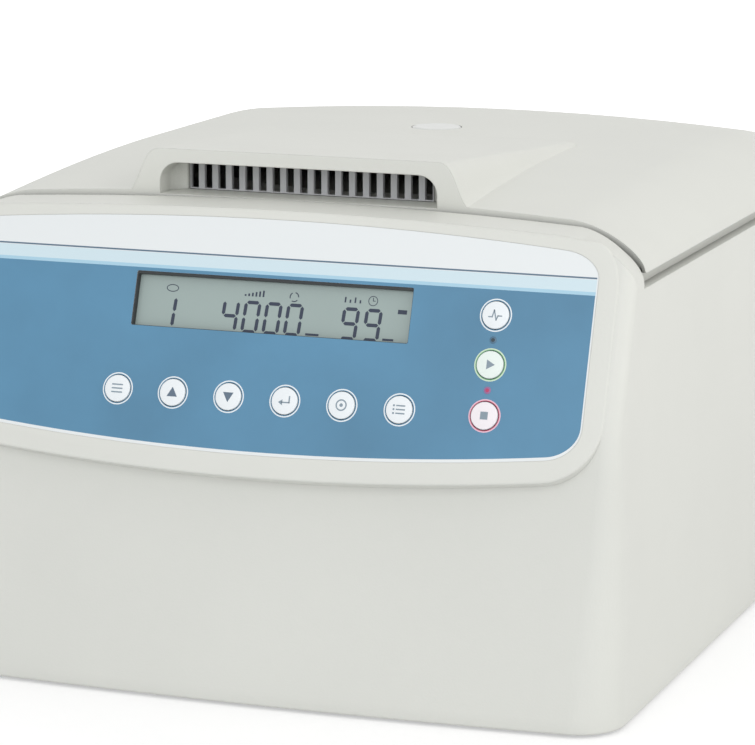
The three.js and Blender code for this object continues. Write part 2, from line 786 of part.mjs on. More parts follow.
function rearPanel() {
  const outer = rearY - cabinetWall - seatGap;
  const half = rearWindowWidth / 2 + cabinetWall * 2;
  const sheet = box([-half, outer - rearSheet, basePlateTop + seatGap],
    [half, outer, rearWindowHigh + cabinetWall * 2]);
  const cutHalf = inletFrameWidth / 2 - inletBodyMargin + seatGap;
  const cutTall = inletFrameHeight / 2 - inletBodyMargin + seatGap;
  const inlet = box([inletX - cutHalf, outer - rearSheet - overrun, inletHeight - cutTall],
    [inletX + cutHalf, outer + overrun, inletHeight + cutTall]);
  const slots = [];
  for (let column = 0; column < louvreColumns; column += 1) {
    const x = (column - (louvreColumns - 1) / 2) * (louvreLength + louvreGap);
    for (let row = 0; row < louvreRows; row += 1) {
      const z = louvreLow + louvrePitch * row;
      slots.push(alongY(roundedRectangle(x - louvreLength / 2, z - louvreWidth / 2,
        x + louvreLength / 2, z + louvreWidth / 2, louvreWidth / 2, 1),
      outer - rearSheet - overrun, outer + overrun));
    }
  }
  return cut(sheet, inlet, ...slots);
}

// Chamber: a deep-drawn bowl whose flange rests on the deck, and the seal that the lid presses
function chamberBowl() {
  const low = bowlFloor - bowlSheet;
  const outer = bowlRadius + bowlSheet;
  const flange = outer + bowlFlange;
  const rim = deckHeight + seatGap;
  const round = (grow) => arc(bowlRadius - bowlCorner, bowlFloor + bowlCorner,
    bowlCorner + grow, bowlCorner + grow, -90, 0, 3);
  return revolve([
    [bowlNeckRadius, low], ...round(bowlSheet), [outer, rim], [flange, rim], [flange, rim + bowlSheet],
    [bowlRadius, rim + bowlSheet], ...round(0).reverse(), [bowlNeckRadius + bowlSheet, bowlFloor],
    [bowlNeckRadius + bowlSheet, bowlFloor + bowlNeckHeight], [bowlNeckRadius, bowlFloor + bowlNeckHeight],
    [bowlNeckRadius, low],
  ], [0, axisY, 0]);
}

function chamberGasket() {
  const inner = bowlRadius + gasketInset;
  const low = bowlFlangeTop + seatGap;
  const lip = gasketHeight / 3;
  return revolve([[inner, low], [inner + gasketWidth, low], [inner + gasketWidth, low + gasketHeight - lip],
    [inner + gasketWidth / 2, low + gasketHeight], [inner, low + gasketHeight - lip], [inner, low]],
  [0, axisY, 0]);
}

// Motor on its rubber-mounted plate
function motorPlate() {
  const low = damperTop() + seatGap;
  const high = low + motorPlateThickness;
  const disc = rod(motorPlateRadius, [0, axisY, low], [0, axisY, high], roundSides);
  const arms = damperPlaces().map(([x, y]) => {
    const away = new THREE.Vector2(x, y - axisY).normalize();
    const across = new THREE.Vector2(-away.y, away.x).multiplyScalar(motorArmRadius);
    const web = [[across.x, axisY + across.y], [-across.x, axisY - across.y], [x - across.x, y - across.y],
      [x + across.x, y + across.y]];
    return join(alongZ(web, low, high), rod(motorArmRadius, [x, y, low], [x, y, high]));
  });
  return cut(join(disc, ...arms), rod(motorRadius + seatGap, [0, axisY, low - overrun],
    [0, axisY, high + overrun], roundSides));
}

function damperTop() {
  return basePlateTop + damperBoss + seatGap + damperHeight;
}

function damper() {
  const lip = damperHeight / 6;
  return revolve([[0, 0], [damperRadius, 0], [damperRadius, lip], [damperWaist, damperHeight / 2],
    [damperRadius, damperHeight - lip], [damperRadius, damperHeight], [0, damperHeight]],
  [0, 0, 0], smallSides);
}

function motorHousing() {
  const seat = damperTop() + seatGap + motorPlateThickness + seatGap;
  const low = seat - motorBelow;
  const flange = motorRadius + motorFlange;
  const shoulder = (motorTop - seat - motorFlangeHeight) / 3;
  const grooves = [1, 2].flatMap((i) => {
    const z = seat + motorFlangeHeight + shoulder * (i - 1 / 2);
    return [[motorRadius, z], [motorRadius - motorFin, z], [motorRadius - motorFin, z + shoulder / 2],
      [motorRadius, z + shoulder / 2]];
  });
  return revolve([[0, low], [motorRadius - motorFlange, low], [motorRadius, low + motorFlange],
    [motorRadius, seat], [flange, seat], [flange, seat + motorFlangeHeight],
    [motorRadius, seat + motorFlangeHeight], ...grooves, [motorRadius, motorTop - motorFlange / 2],
    [motorRadius - motorFlange, motorTop], [motorNeckRadius, motorTop], [motorNeckRadius, motorNeckTop],
    [0, motorNeckTop]], [0, axisY, 0], roundSides / 2);
}

// The boot closes the ring between the bowl's neck and the motor's neck with soft folds
function shaftBoot() {
  const inner = motorNeckRadius + seatGap;
  const outer = bowlNeckRadius - seatGap;
  const low = motorTop + seatGap + bootThickness;
  const high = bowlFloor + bowlNeckHeight;
  const folds = Array.from({ length: bootRibs * 2 + 1 }, (_, i) => {
    const share = i / (bootRibs * 2);
    return [lerp(inner, outer, share), lerp(low, high, share) + (i % 2) * bootThickness];
  });
  const under = folds.map(([r, z]) => [r, z - bootThickness]).reverse();
  return revolve([...folds, ...under, folds[0]], [0, axisY, 0], roundSides / 2);
}

// Rotor: a hub with twelve radial slots between wedge arms, notched on both sides for the pivots
function rotorSpindle() {
  const shoulderTop = rotorTop - rotorThickness - rotorHubBelow - seatGap;
  const nutTop = rotorTop + rotorHubAbove + seatGap + nutHeight - seatGap * 2;
  return revolve([[0, motorNeckTop + seatGap], [spindleRadius, motorNeckTop + seatGap],
    [spindleRadius, shoulderTop - spindleShoulderHeight],
    [spindleRadius + spindleShoulder, shoulderTop - spindleShoulderHeight + spindleShoulder],
    [spindleRadius + spindleShoulder, shoulderTop], [spindleRadius, shoulderTop],
    [spindleRadius, rotorTop + rotorHubAbove - seatGap],
    [spindleThreadRadius, rotorTop + rotorHubAbove - seatGap],
    [spindleThreadRadius, nutTop - spindleThreadRadius], [0, nutTop - spindleThreadRadius]],
  [0, 0, 0], smallSides);
}

function holderThickness() {
  return cardSlotWidth + holderWall * 2;
}

function holderReach() {
  return cardSlotLength / 2 + holderEnd;
}

function rotorBody() {
  const slotHalf = holderThickness() / 2 + slideGap;
  const slotInner = pivotCircle - Math.hypot(holderReach(), holderRise) - slideGap;
  const low = rotorTop - rotorThickness;
  const disc = revolve([[0, low], [rotorRadius, low], [rotorRadius, rotorTop - rotorRimChamfer],
    [rotorRadius - rotorRimChamfer, rotorTop],
    [rotorHubRadius + rotorHubAbove, rotorTop], [rotorHubRadius, rotorTop + rotorHubAbove],
    [0, rotorTop + rotorHubAbove]]);
  const hub = rod(rotorHubRadius, [0, 0, low - rotorHubBelow], [0, 0, rotorTop], roundSides);
  const bore = rod(spindleRadius + seatGap, [0, 0, low - rotorHubBelow - overrun],
    [0, 0, rotorTop + rotorHubAbove + overrun]);
  const tools = [];
  for (let i = 0; i < holderCount; i += 1) {
    const turn = new THREE.Matrix4().makeRotationZ(2 * Math.PI * i / holderCount);
    const slot = rectangle(slotInner, -slotHalf, rotorRadius + overrun, slotHalf);
    tools.push(extrude(slot, rotorThickness + overrun * 2, turn.clone().multiply(
      new THREE.Matrix4().makeTranslation(0, 0, low - overrun))));
    const notchHalf = pivotRadius + slideGap;
    const notchReach = slotHalf + pivotReach + slideGap;
    const lowNotch = arc(pivotCircle, pivotHeight, notchHalf, notchHalf, 180, 360, 4);
    const notch = [...lowNotch, [pivotCircle + notchHalf, rotorTop + overrun],
      [pivotCircle - notchHalf, rotorTop + overrun]];
    const across = new THREE.Matrix4().makeRotationX(Math.PI / 2).setPosition(0, notchReach, 0);
    tools.push(extrude(notch, notchReach * 2, turn.clone().multiply(across)));
  }
  return cut(join(disc, hub), bore, ...tools);
}

function rotorNut() {
  const low = rotorTop + rotorHubAbove + seatGap;
  const bevel = nutRadius / 6;
  const body = revolve([[0, low], [nutRadius, low], [nutRadius, low + nutHeight - bevel],
    [nutRadius - bevel, low + nutHeight], [0, low + nutHeight]], [0, 0, 0], roundSides / 2);
  const bore = rod(spindleThreadRadius + seatGap, [0, 0, low - overrun],
    [0, 0, low + nutHeight - spindleThreadRadius]);
  const flutes = Array.from({ length: nutFlutes }, (_, i) => {
    const angle = 2 * Math.PI * i / nutFlutes;
    const [x, y] = [nutRadius * Math.cos(angle), nutRadius * Math.sin(angle)];
    return rod(nutFluteRadius, [x, y, low - overrun], [x, y, low + nutHeight + overrun], tinySides);
  });
  return cut(body, bore, ...flutes);
}

// Card holder, hanging from its pivots: the card goes in at the top, on edge along the radius
function cardHolder() {
  const half = holderThickness() / 2;
  const reach = holderReach();
  const top = pivotHeight + holderRise;
  const low = top - cardSlotDepth - holderFloor;
  const body = box([-reach, -half, low], [reach, half, top]);
  const pins = rod(pivotRadius, [0, -half - pivotReach, pivotHeight],
    [0, half + pivotReach, pivotHeight], tinySides);
  const slotHalf = cardSlotWidth / 2;
  const slot = alongX([[-slotHalf, low + holderFloor], [slotHalf, low + holderFloor],
    [slotHalf, top - holderLeadIn], [slotHalf + holderLeadIn, top + seatGap],
    [-slotHalf - holderLeadIn, top + seatGap], [-slotHalf, top - holderLeadIn]],
  -cardSlotLength / 2, cardSlotLength / 2);
  const windowLowZ = low + holderWindowLow;
  const view = alongY(rectangle(-holderWindowLength / 2, windowLowZ, holderWindowLength / 2,
    windowLowZ + holderWindowHeight), -half - overrun, half + overrun);
  return cut(join(body, pins), slot, view);
}

// Lid: sections across the machine whose crown falls to round shoulders
function lidHeight(y) {
  const back = frontY + lidPlateauEnd;
  const rise = clamp01((y - frontY - lidFront) / (lidPlateauStart - lidFront));
  const fall = clamp01((y - back) / (lidBack - lidPlateauEnd));
  return lerp(lidFrontHeight, lidPlateau, rise * (2 - rise)) - lidBackDrop * fall * fall;
}

function lidCrown(y) {
  return lerp(lidCrownFront, lidCrownBack, clamp01((y - frontY - lidFront) / (lidBack - lidFront)));
}

function lidSection(y, inset) {
  const end = frontY + lidBack;
  const edge = Math.max(0, lidEdgeRound - (end - y) + inset);
  const soften = edge > 0 ? lidEdgeRound - Math.sqrt(Math.max(lidEdgeRound ** 2 - edge ** 2, 0)) : 0;
  const bendShare = 0.98;
  const turnShare = clamp01((y - end + inset + lidBackCorner) / lidBackCorner);
  const half = cabinetWidth / 2 - lidSide - inset - soften
    - lidBackCorner * (1 - Math.sqrt(1 - (turnShare * bendShare) ** 2)) / 2;
  const line = shoulderLine({ half, side: lidLower, reach: cabinetWidth / 2 - lidSide - lidShoulder,
    middle: lidHeight(y) - inset - soften, drop: lidCrown(y), fullShare: flatterShare });
  const low = lidLower - overrun;
  const ring = inset > 0 ? [[half, low], ...line, [-half, low]] : line;
  return ring.map(([x, z]) => new THREE.Vector3(x, y, z));
}

function lidVolume(inset) {
  const start = frontY + dashboardSide;
  const end = frontY + lidBack - inset;
  const plain = Array.from({ length: lidStations + 1 },
    (_, i) => lerp(start, end - lidBackCorner, i / lidStations));
  const stations = [...plain, end - lidBackCorner / 2, end - lidEdgeRound, end];
  return loft(stations.map((y) => lidSection(y, inset)));
}

// Intake hood: a wedge that rises from the lid towards the front, with flared feet at its sides
function hoodVolume(inset) {
  const start = frontY + dashboardBack - dashboardBackDrop;
  const end = frontY + hoodEnd;
  const stationShares = [0, 0.25, 0.5, 0.75, 1];
  const low = lidPlateau - lidCrownBack * 3 - inset;
  return loft(stationShares.map((share) => {
    const y = lerp(start, end, share);
    const foot = lerp(hoodFoot, hoodFootEnd, share) - inset;
    const shoulder = lerp(hoodShoulder, hoodShoulderEnd, share) - inset;
    const reach = cabinetWidth / 2 - lidSide - lidShoulder;
    const skirt = lidHeight(y) - lidCrown(y) * (foot / reach) ** 2 - hoodSink - inset;
    const top = Math.max(lerp(hoodTop, lidPlateau, share) - inset, skirt + hoodSink / 2);
    const waistShare = 0.45;
    const waist = lerp(foot, shoulder, waistShare);
    const curve = new THREE.CubicBezierCurve(new THREE.Vector2(foot, skirt), new THREE.Vector2(waist, skirt),
      new THREE.Vector2(waist, top), new THREE.Vector2(shoulder, top));
    const right = [[foot, low], ...curve.getPoints(archSteps).map((p) => [p.x, p.y])];
    const left = right.map(([x, z]) => [-x, z]).reverse();
    return [...right, ...left].map(([x, z]) => new THREE.Vector3(x, y, z));
  }));
}

function intakeOutline(grow) {
  const half = intakeHalf + grow;
  const high = intakeHigh + grow;
  const low = intakeLow - grow;
  const radius = intakeCorner + grow;
  return [[-half, low], [half, low], ...arc(half - radius, high - radius, radius, radius, 0, 90, cornerSteps),
    ...arc(radius - half, high - radius, radius, radius, 90, 180, cornerSteps)];
}

function lidShell() {
  const outer = join(lidVolume(0), hoodVolume(0)).intersect(spaceBehindSeam(0));
  const inner = join(lidVolume(lidWall), hoodVolume(lidWall)).intersect(spaceBehindSeam(lidWall));
  const mouth = frontY + dashboardSide;
  const ductEnd = frontY + lidFront + intakeDepth;
  const duct = alongY(intakeOutline(intakeWall), mouth, ductEnd);
  const bore = alongY(intakeOutline(0), mouth - overrun, ductEnd + overrun);
  const bosses = lidBosses().map(([x, y]) =>
    rod(lidBossRadius, [x, y, linerTop + seatGap], [x, y, lidPlateau], tinySides)
      .intersect(lidVolume(lidWall / 2)));
  const end = frontY + lidBack;
  const relief = box([-cabinetWidth / 2, end - lidBackReliefDepth, lidLower - overrun * 2],
    [cabinetWidth / 2, end + overrun, lidBackRelief]);
  const port = rod(portBodyRadius + seatGap, [0, axisY, lidLower], [0, axisY, hoodTop + overrun],
    roundSides / 2);
  const portSeat = rod(portRadius + seatGap, [0, axisY, lidPlateau - portRim],
    [0, axisY, hoodTop + overrun], roundSides / 2);
  const shell = join(cut(outer, inner), duct.intersect(outer), ...bosses);
  return cut(shell, bore, relief, port, portSeat);
}

function lidBosses() {
  const x = cabinetWidth / 2 - lidSide - lidBossInset;
  const near = frontY + lidFront + lidBossInset;
  const far = frontY + lidBack - lidBossInset * 2;
  return [[-x, near], [x, near], [-x, far], [x, far]];
}

function lidGrille() {
  const front = frontY + lidFront + grilleSetback;
  const plate = alongY(intakeOutline(-seatGap), front, front + grilleThickness);
  const pitch = 2 * grilleSpan / grilleSlots;
  const slots = Array.from({ length: grilleSlots }, (_, i) => {
    const x = -grilleSpan + pitch * (i + 1 / 2);
    const half = pitch * grilleSlotShare / 2;
    return box([x - half, front - overrun, intakeLow + grilleSlotLow],
      [x + half, front + grilleThickness + overrun, intakeHigh - grilleSlotHigh]);
  });
  return cut(plate, ...slots);
}

function viewingPort() {
  const seat = lidPlateau - portRim + seatGap;
  return revolve([[0, seat - portDepth], [portBodyRadius, seat - portDepth], [portBodyRadius, seat],
    [portRadius, seat], [portRadius, seat + portRim / 2], [portRadius - portRim, seat + portRim],
    [0, seat + portRim]], [0, axisY, 0], roundSides / 2);
}

function lidLiner() {
  const half = cabinetWidth / 2 - lidSide - linerSide;
  const front = frontY + lidFront + lidWall + linerFrontGap;
  const stepY = hingeY - linerRearLength;
  const rearHeight = linerTop + linerRearRise;
  const back = frontY + lidBack - linerRearInset;
  const plate = alongZ(roundedRectangle(-half, front, half, stepY + linerSheet, linerCorner),
    linerBottom, linerTop);
  const rear = alongX([[stepY, linerBottom], [stepY + linerSheet, linerBottom],
    [stepY + linerSheet, rearHeight - linerSheet], [back, rearHeight - linerSheet], [back, rearHeight],
    [stepY, rearHeight]], -linerRearHalf, linerRearHalf);
  const dishTop = linerTop + linerDishRise;
  const slope = linerDishRadius - linerDishSlope;
  const dish = revolve([[0, dishTop - linerSheet], [slope - linerSheet, dishTop - linerSheet],
    [linerDishRadius - linerSheet, linerBottom], [linerDishRadius + linerSheet, linerBottom],
    [linerDishRadius + linerSheet, linerTop], [linerDishRadius, linerTop], [slope, dishTop], [0, dishTop]],
  [0, axisY, 0]);
  const opening = rod(linerDishRadius, [0, axisY, linerBottom - overrun], [0, axisY, linerTop + overrun],
    roundSides);
  const holes = Array.from({ length: linerHoles }, (_, i) => {
    const angle = 2 * Math.PI * (i + 1 / 2) / linerHoles;
    const [x, y] = [linerHoleCircle * Math.cos(angle), axisY + linerHoleCircle * Math.sin(angle)];
    return rod(linerHoleRadius, [x, y, linerBottom], [x, y, dishTop + overrun], tinySides);
  });
  const view = rod(portRadius + linerSheet, [0, axisY, linerBottom], [0, axisY, dishTop + overrun],
    roundSides / 2);
  const lugs = hingeLugPlaces().map((x) => {
    const ring = rod(hingeLugRadius, [x - hingeLugThickness / 2, hingeY, hingeHeight],
      [x + hingeLugThickness / 2, hingeY, hingeHeight]);
    const neck = alongX([[hingeY - hingeLugRadius, hingeHeight],
      [hingeY + hingeLugRadius * 2 / 3, hingeHeight],
      [hingeY + hingeLugRadius / 3, rearHeight - linerSheet / 2],
      [hingeY - hingeLugRadius * 5 / 3, rearHeight - linerSheet / 2]],
    x - hingeLugThickness / 2, x + hingeLugThickness / 2);
    return join(ring, neck);
  });
  const pins = hingeLugPlaces().map((x) => rod(hingePinRadius + seatGap,
    [x - hingeLugThickness, hingeY, hingeHeight], [x + hingeLugThickness, hingeY, hingeHeight]));
  return cut(join(cut(plate, opening), rear, dish, ...lugs), ...holes, view, ...pins);
}

function hingeLugPlaces() {
  return [-1, 1].flatMap((side) => [-1, 1].map((end) => side * hingeSpacing + end * hingeLugOffset));
}

// Hinge bracket: a foot on the rear shelf with two ears that hold the pin
function hingeBracket(side) {
  const centre = side * hingeSpacing;
  const half = hingePinLength / 2;
  const low = shelfHeight + seatGap;
  const base = box([centre - half, hingeY - hingeBaseFront, low], [centre + half, hingeY + hingeBaseBack,
    low + hingeBaseThickness]);
  const ears = [-1, 1].map((end) => {
    const outer = centre + end * half;
    const inner = outer - end * hingeEarThickness;
    return alongX([[hingeY - hingeBaseFront, low], [hingeY + hingeBaseBack, low],
      ...arc(hingeY, hingeHeight, hingeEarRadius, hingeEarRadius, -40, 180, 6)],
    Math.min(inner, outer), Math.max(inner, outer));
  });
  const pin = rod(hingePinRadius + seatGap, [centre - half - overrun, hingeY, hingeHeight],
    [centre + half + overrun, hingeY, hingeHeight]);
  return cut(join(base, ...ears), pin);
}

function hingePin(side) {
  const centre = side * hingeSpacing;
  const half = hingePinLength / 2;
  return rod(hingePinRadius, [centre - half, hingeY, hingeHeight], [centre + half, hingeY, hingeHeight]);
}

// Torsion spring: one wire, with a leg along the shelf, a coil round the pin and a leg under the lid
function springRadius() {
  return hingeHeight - shelfHeight - seatGap * 2 - hingeBaseThickness - springWire / 2;
}

class SpringWire extends THREE.Curve {
  constructor(centre) {
    super();
    this.centre = centre;
    this.coilLength = springTurns * 2 * Math.PI * springRadius();
  }

  getPoint(t) {
    const radius = springRadius();
    const at = t * (this.coilLength + springLeg * 2) - springLeg;
    const coilShare = clamp01(at / this.coilLength);
    const angle = -Math.PI / 2 - coilShare * (springTurns - 1 / 2) * 2 * Math.PI;
    const x = this.centre + (coilShare - 1 / 2) * springTurns * springPitch;
    const before = Math.max(-at, 0);
    const after = Math.max(at - this.coilLength, 0);
    return new THREE.Vector3(x, hingeY + radius * Math.cos(angle) - before - after,
      hingeHeight + radius * Math.sin(angle));
  }
}

function lidSpring(side) {
  const wire = new SpringWire(side * hingeSpacing);
  const section = circle(0, 0, springWire / 2, 5).map(([u, v]) => new THREE.Vector2(u, v));
  const legSteps = 2;
  const geometry = new THREE.ExtrudeGeometry(new THREE.Shape(section), {
    steps: springTurns * 8 + legSteps * 2, extrudePath: wire, bevelEnabled: false });
  return toSolid(geometry);
}

function leastSpringGap() {
  const wire = new SpringWire(0);
  const points = wire.getSpacedPoints(springTurns * 32);
  const apart = 16;
  let least = Infinity;
  points.forEach((p, i) => {
    for (let j = i + apart; j < points.length; j += 1) least = Math.min(least, p.distanceTo(points[j]));
  });
  return least - springWire;
}

// Lock: a striker plate on the lid, and a solenoid bolt in a housing under the deck
function lidCatch() {
  const y = frontY + catchSetback;
  const top = linerBottom - seatGap;
  const low = top - catchDrop;
  const foot = box([-catchFootLength / 2, y - catchWidth / 2, top - catchFootThickness],
    [catchFootLength / 2, y + catchWidth / 2, top]);
  const bevel = catchThickness;
  const plate = alongX([[y - catchWidth / 2 + bevel, low], [y + catchWidth / 2 - bevel, low],
    [y + catchWidth / 2, low + bevel], [y + catchWidth / 2, top - catchFootThickness / 2],
    [y - catchWidth / 2, top - catchFootThickness / 2], [y - catchWidth / 2, low + bevel]],
  -catchThickness / 2, catchThickness / 2);
  const hole = box([-catchThickness, y - catchHoleWidth / 2, low + catchHoleLow],
    [catchThickness, y + catchHoleWidth / 2, low + catchHoleLow + catchHoleHeight]);
  return cut(join(foot, plate), hole);
}

function boltHeight() {
  return linerBottom - seatGap - catchDrop + catchHoleLow + catchHoleHeight / 2;
}

function lockHousing() {
  const y = frontY + catchSetback;
  const top = deckHeight - cabinetWall - seatGap;
  const body = box([-lockWidth / 2, y - lockDepth / 2, top - lockHeight],
    [lockWidth / 2, y + lockDepth / 2, top]);
  const coil = rod(solenoidRadius, [lockWidth / 2 - seatGap, y, boltHeight()],
    [lockWidth / 2 + solenoidLength, y, boltHeight()]);
  const slotHalf = (catchSlotDepth - cabinetWall) / 2;
  const slot = box([-catchSlotWidth / 2, y - slotHalf, top - lockHeight + cabinetWall],
    [catchSlotWidth / 2, y + slotHalf, top + overrun]);
  const bore = rod(boltRadius + seatGap, [-lockWidth / 2 + cabinetWall, y, boltHeight()],
    [boltRest + boltLength + seatGap, y, boltHeight()]);
  return cut(join(body, coil), slot, bore);
}

function lockBolt() {
  const y = frontY + catchSetback;
  const tip = boltRadius / 3;
  const profile = [[0, 0], [boltRadius - tip, 0], [boltRadius, tip], [boltRadius, boltLength],
    [0, boltLength]];
  const geometry = new THREE.LatheGeometry(profile.map(([r, x]) => new THREE.Vector2(r, x)), smallSides);
  geometry.rotateZ(-Math.PI / 2);
  geometry.translate(boltRest, y, boltHeight());
  return toSolid(geometry);
}

// Panel pieces, in the panel's own frame
function panelOverlay() {
  const holes = [
    rectangle(windowLeft, windowLow, windowRight, windowHigh),
    ...keys.map(({ x, s }) => circle(x, s, keyRadius + slideGap)),
    ...lampHeights.map((s) => circle(keyColumn, s, lampRadius + seatGap, tinySides)),
  ];
  return extrude(panelOutline(overlaySize, 0), overlayThickness,
    new THREE.Matrix4().makeTranslation(0, 0, -overlayThickness), holes);
}

function keyCap() {
  const flangeTop = -panelInside - seatGap;
  const flangeLow = flangeTop - keyFlangeThickness;
  const bevel = keyStand / 2;
  return revolve([[0, flangeLow], [keyRadius + keyFlange, flangeLow], [keyRadius + keyFlange, flangeTop],
    [keyRadius, flangeTop], [keyRadius, keyStand - bevel], [keyRadius - bevel, keyStand], [0, keyStand]],
  [0, 0, 0], smallSides);
}

function lamp() {
  const flangeTop = -panelInside - seatGap;
  const flange = lampRadius + lampFlange;
  const dome = arc(0, 0, lampRadius, lampRadius / 2, 0, 90, 2);
  return revolve([[0, -lampLength], [flange, -lampLength], [flange, flangeTop], [lampRadius, flangeTop],
    ...dome], [0, 0, 0], tinySides);
}

function lcdModule() {
  const top = -panelInside - seatGap;
  const outline = rectangle(windowLeft - displayMargin, windowLow - displayMargin,
    windowRight + displayMargin, windowHigh + displayMarginHigh);
  return alongZ(outline, top - displayThickness, top);
}

function controlBoard() {
  const plate = extrude(rectangle(boardLeft, boardLow, boardRight, boardHigh), boardThickness,
    new THREE.Matrix4().makeTranslation(0, 0, -boardSetback - boardThickness));
  const post = (x, s, radius, top) =>
    rod(radius, [x, s, -boardSetback - boardThickness / 2], [x, s, top], tinySides);
  const keyBottom = -panelInside - seatGap - keyFlangeThickness;
  const switches = keys.map(({ x, s }) => post(x, s, switchPostRadius, keyBottom - keyTravel - seatGap / 3));
  const displayBack = -panelInside - seatGap - displayThickness;
  const spacerRows = [windowLow, windowHigh - displayMarginHigh];
  const spacers = [windowLeft, windowRight].flatMap((x) =>
    spacerRows.map((s) => post(x, s, switchPostRadius, displayBack - seatGap)));
  const lampPosts = lampHeights.map((s) => post(keyColumn, s, lampRadius, -lampLength - seatGap));
  return join(plate, ...switches, ...spacers, ...lampPosts);
}

function driveBoard() {
  const front = frontY + driveBoardFront;
  const half = driveBoardWidth / 2;
  const top = driveBoardHeight + boardThickness;
  const plate = box([-half, front, driveBoardHeight], [half, front + driveBoardDepth, top]);
  const cans = [1, 2, 3].map((i) => {
    const [x, y] = [-half + capacitorRadius * 2 * i + capacitorRadius * i / 2, front + driveBoardDepth / 2];
    return rod(capacitorRadius, [x, y, driveBoardHeight + boardThickness / 2], [x, y, top + capacitorHeight]);
  });
  const sinkLeft = half / 4;
  const sinkFront = front + driveBoardDepth / 3;
  const sink = box([sinkLeft, sinkFront, driveBoardHeight + boardThickness / 2],
    [sinkLeft + sinkWidth, sinkFront + sinkDepth, top + sinkBase]);
  const finCount = Math.floor((sinkWidth - sinkFin) / (sinkFin * 3)) + 1;
  const fins = Array.from({ length: finCount }, (_, i) => {
    const x = sinkLeft + sinkFin * 3 * i;
    return box([x, sinkFront, top], [x + sinkFin, sinkFront + sinkDepth, top + sinkHeight]);
  });
  return join(plate, ...cans, sink, ...fins);
}

// Power entry: an appliance inlet and a rocker switch in one frame
function powerInlet() {
  const plateFace = rearY - cabinetWall;
  const face = plateFace + inletFrameThickness;
  const halfWidth = inletFrameWidth / 2;
  const halfHeight = inletFrameHeight / 2;
  const frame = alongY(roundedRectangle(inletX - halfWidth, inletHeight - halfHeight, inletX + halfWidth,
    inletHeight + halfHeight, inletBodyMargin), plateFace, face);
  const [bodyHalf, bodyTall] = [halfWidth - inletBodyMargin, halfHeight - inletBodyMargin];
  const body = box([inletX - bodyHalf, face - inletBodyDepth, inletHeight - bodyTall],
    [inletX + bodyHalf, face - inletFrameThickness / 2, inletHeight + bodyTall]);
  const socketZ = inletHeight + socketOffset;
  const [w, h] = [socketWidth / 2, socketHeight / 2];
  const socket = alongY([[inletX - w, socketZ - h], [inletX + w, socketZ - h],
    [inletX + w, socketZ + h - socketCut], [inletX + w - socketCut, socketZ + h],
    [inletX - w + socketCut, socketZ + h], [inletX - w, socketZ + h - socketCut]],
  face - socketDepth, face + overrun);
  const pins = [-1, 0, 1].map((i) => {
    const x = inletX + i * socketPinSpacing;
    const z = socketZ + (i === 0 ? socketCut / 2 : -socketCut / 2);
    return box([x - socketPinWidth / 2, face - socketDepth - overrun, z - socketPinHeight / 2],
      [x + socketPinWidth / 2, face - socketDepth + socketPinDepth, z + socketPinHeight / 2]);
  });
  const rockerZ = inletHeight + rockerOffset;
  const [rw, rh] = [rockerWidth / 2 + rockerGap, rockerHeight / 2 + rockerGap];
  const pocket = box([inletX - rw, face - rockerDepth, rockerZ - rh],
    [inletX + rw, face + overrun, rockerZ + rh]);
  return join(cut(join(frame, body), socket, pocket), ...pins);
}

function rockerPlace() {
  const face = rearY - cabinetWall + inletFrameThickness;
  return [inletX, face - rockerSink - rockerBack, inletHeight + rockerOffset];
}

function powerRocker() {
  const half = rockerHeight / 2;
  const outline = [[-rockerBack / 2, -half * 2 / 3], [rockerBack + rockerDish / 2, -half],
    [rockerBack - rockerDish / 2, 0], [rockerBack + rockerDish / 2, half], [-rockerBack / 2, half * 2 / 3]];
  return alongX(outline, -rockerWidth / 2, rockerWidth / 2);
}

// Looks: colour, roughness and metalness of each kind of material
const looks = {
  shell: ['#dcdcd4', 0.55, 0],
  lid: ['#dedfd8', 0.55, 0],
  overlay: ['#5f93bb', 0.45, 0],
  display: ['#a5afa8', 0.25, 0],
  keyWhite: ['#eef2f2', 0.5, 0],
  keyGreen: ['#dff0e2', 0.5, 0],
  keyRed: ['#f6dfe0', 0.5, 0],
  lampDark: ['#3c4a52', 0.3, 0],
  lampRed: ['#d2485a', 0.3, 0],
  dark: ['#2b2d2f', 0.6, 0],
  port: ['#e9ebe6', 0.25, 0],
  rubber: ['#26282a', 0.85, 0],
  steel: ['#b9bdc0', 0.3, 0.9],
  aluminium: ['#c4c8cb', 0.4, 0.9],
  zinc: ['#a9adb0', 0.45, 0.8],
  board: ['#2f6b48', 0.6, 0],
  motor: ['#4a4d50', 0.5, 0.4],
  holder: ['#e3e6e8', 0.45, 0],
};

function piece(name, solid, look) {
  const [color, roughness, metalness] = looks[look];
  const material = new THREE.MeshStandardMaterial({ color, roughness, metalness });
  const mesh = new THREE.Mesh(toGeometry(solid), material);
  mesh.name = name;
  return mesh;
}

function placed(name, solid, look, place) {
  const mesh = piece(name, solid, look);
  mesh.position.set(...place);
  return mesh;
}

const machine = new THREE.Group();

machine.add(
  piece('cabinet_shell', cabinetShell(), 'shell'),
  piece('base_plate', basePlate(), 'zinc'),
  piece('rear_panel', rearPanel(), 'zinc'),
  piece('chamber_bowl', chamberBowl(), 'steel'),
  piece('chamber_gasket', chamberGasket(), 'rubber'),
  piece('motor_plate', motorPlate(), 'zinc'),
  piece('motor_housing', motorHousing(), 'motor'),
  piece('shaft_boot', shaftBoot(), 'rubber'),
  piece('drive_board', driveBoard(), 'board'),
  piece('lock_housing', lockHousing(), 'dark'),
  piece('lock_bolt', lockBolt(), 'steel'),
  piece('power_inlet', powerInlet(), 'dark'),
);

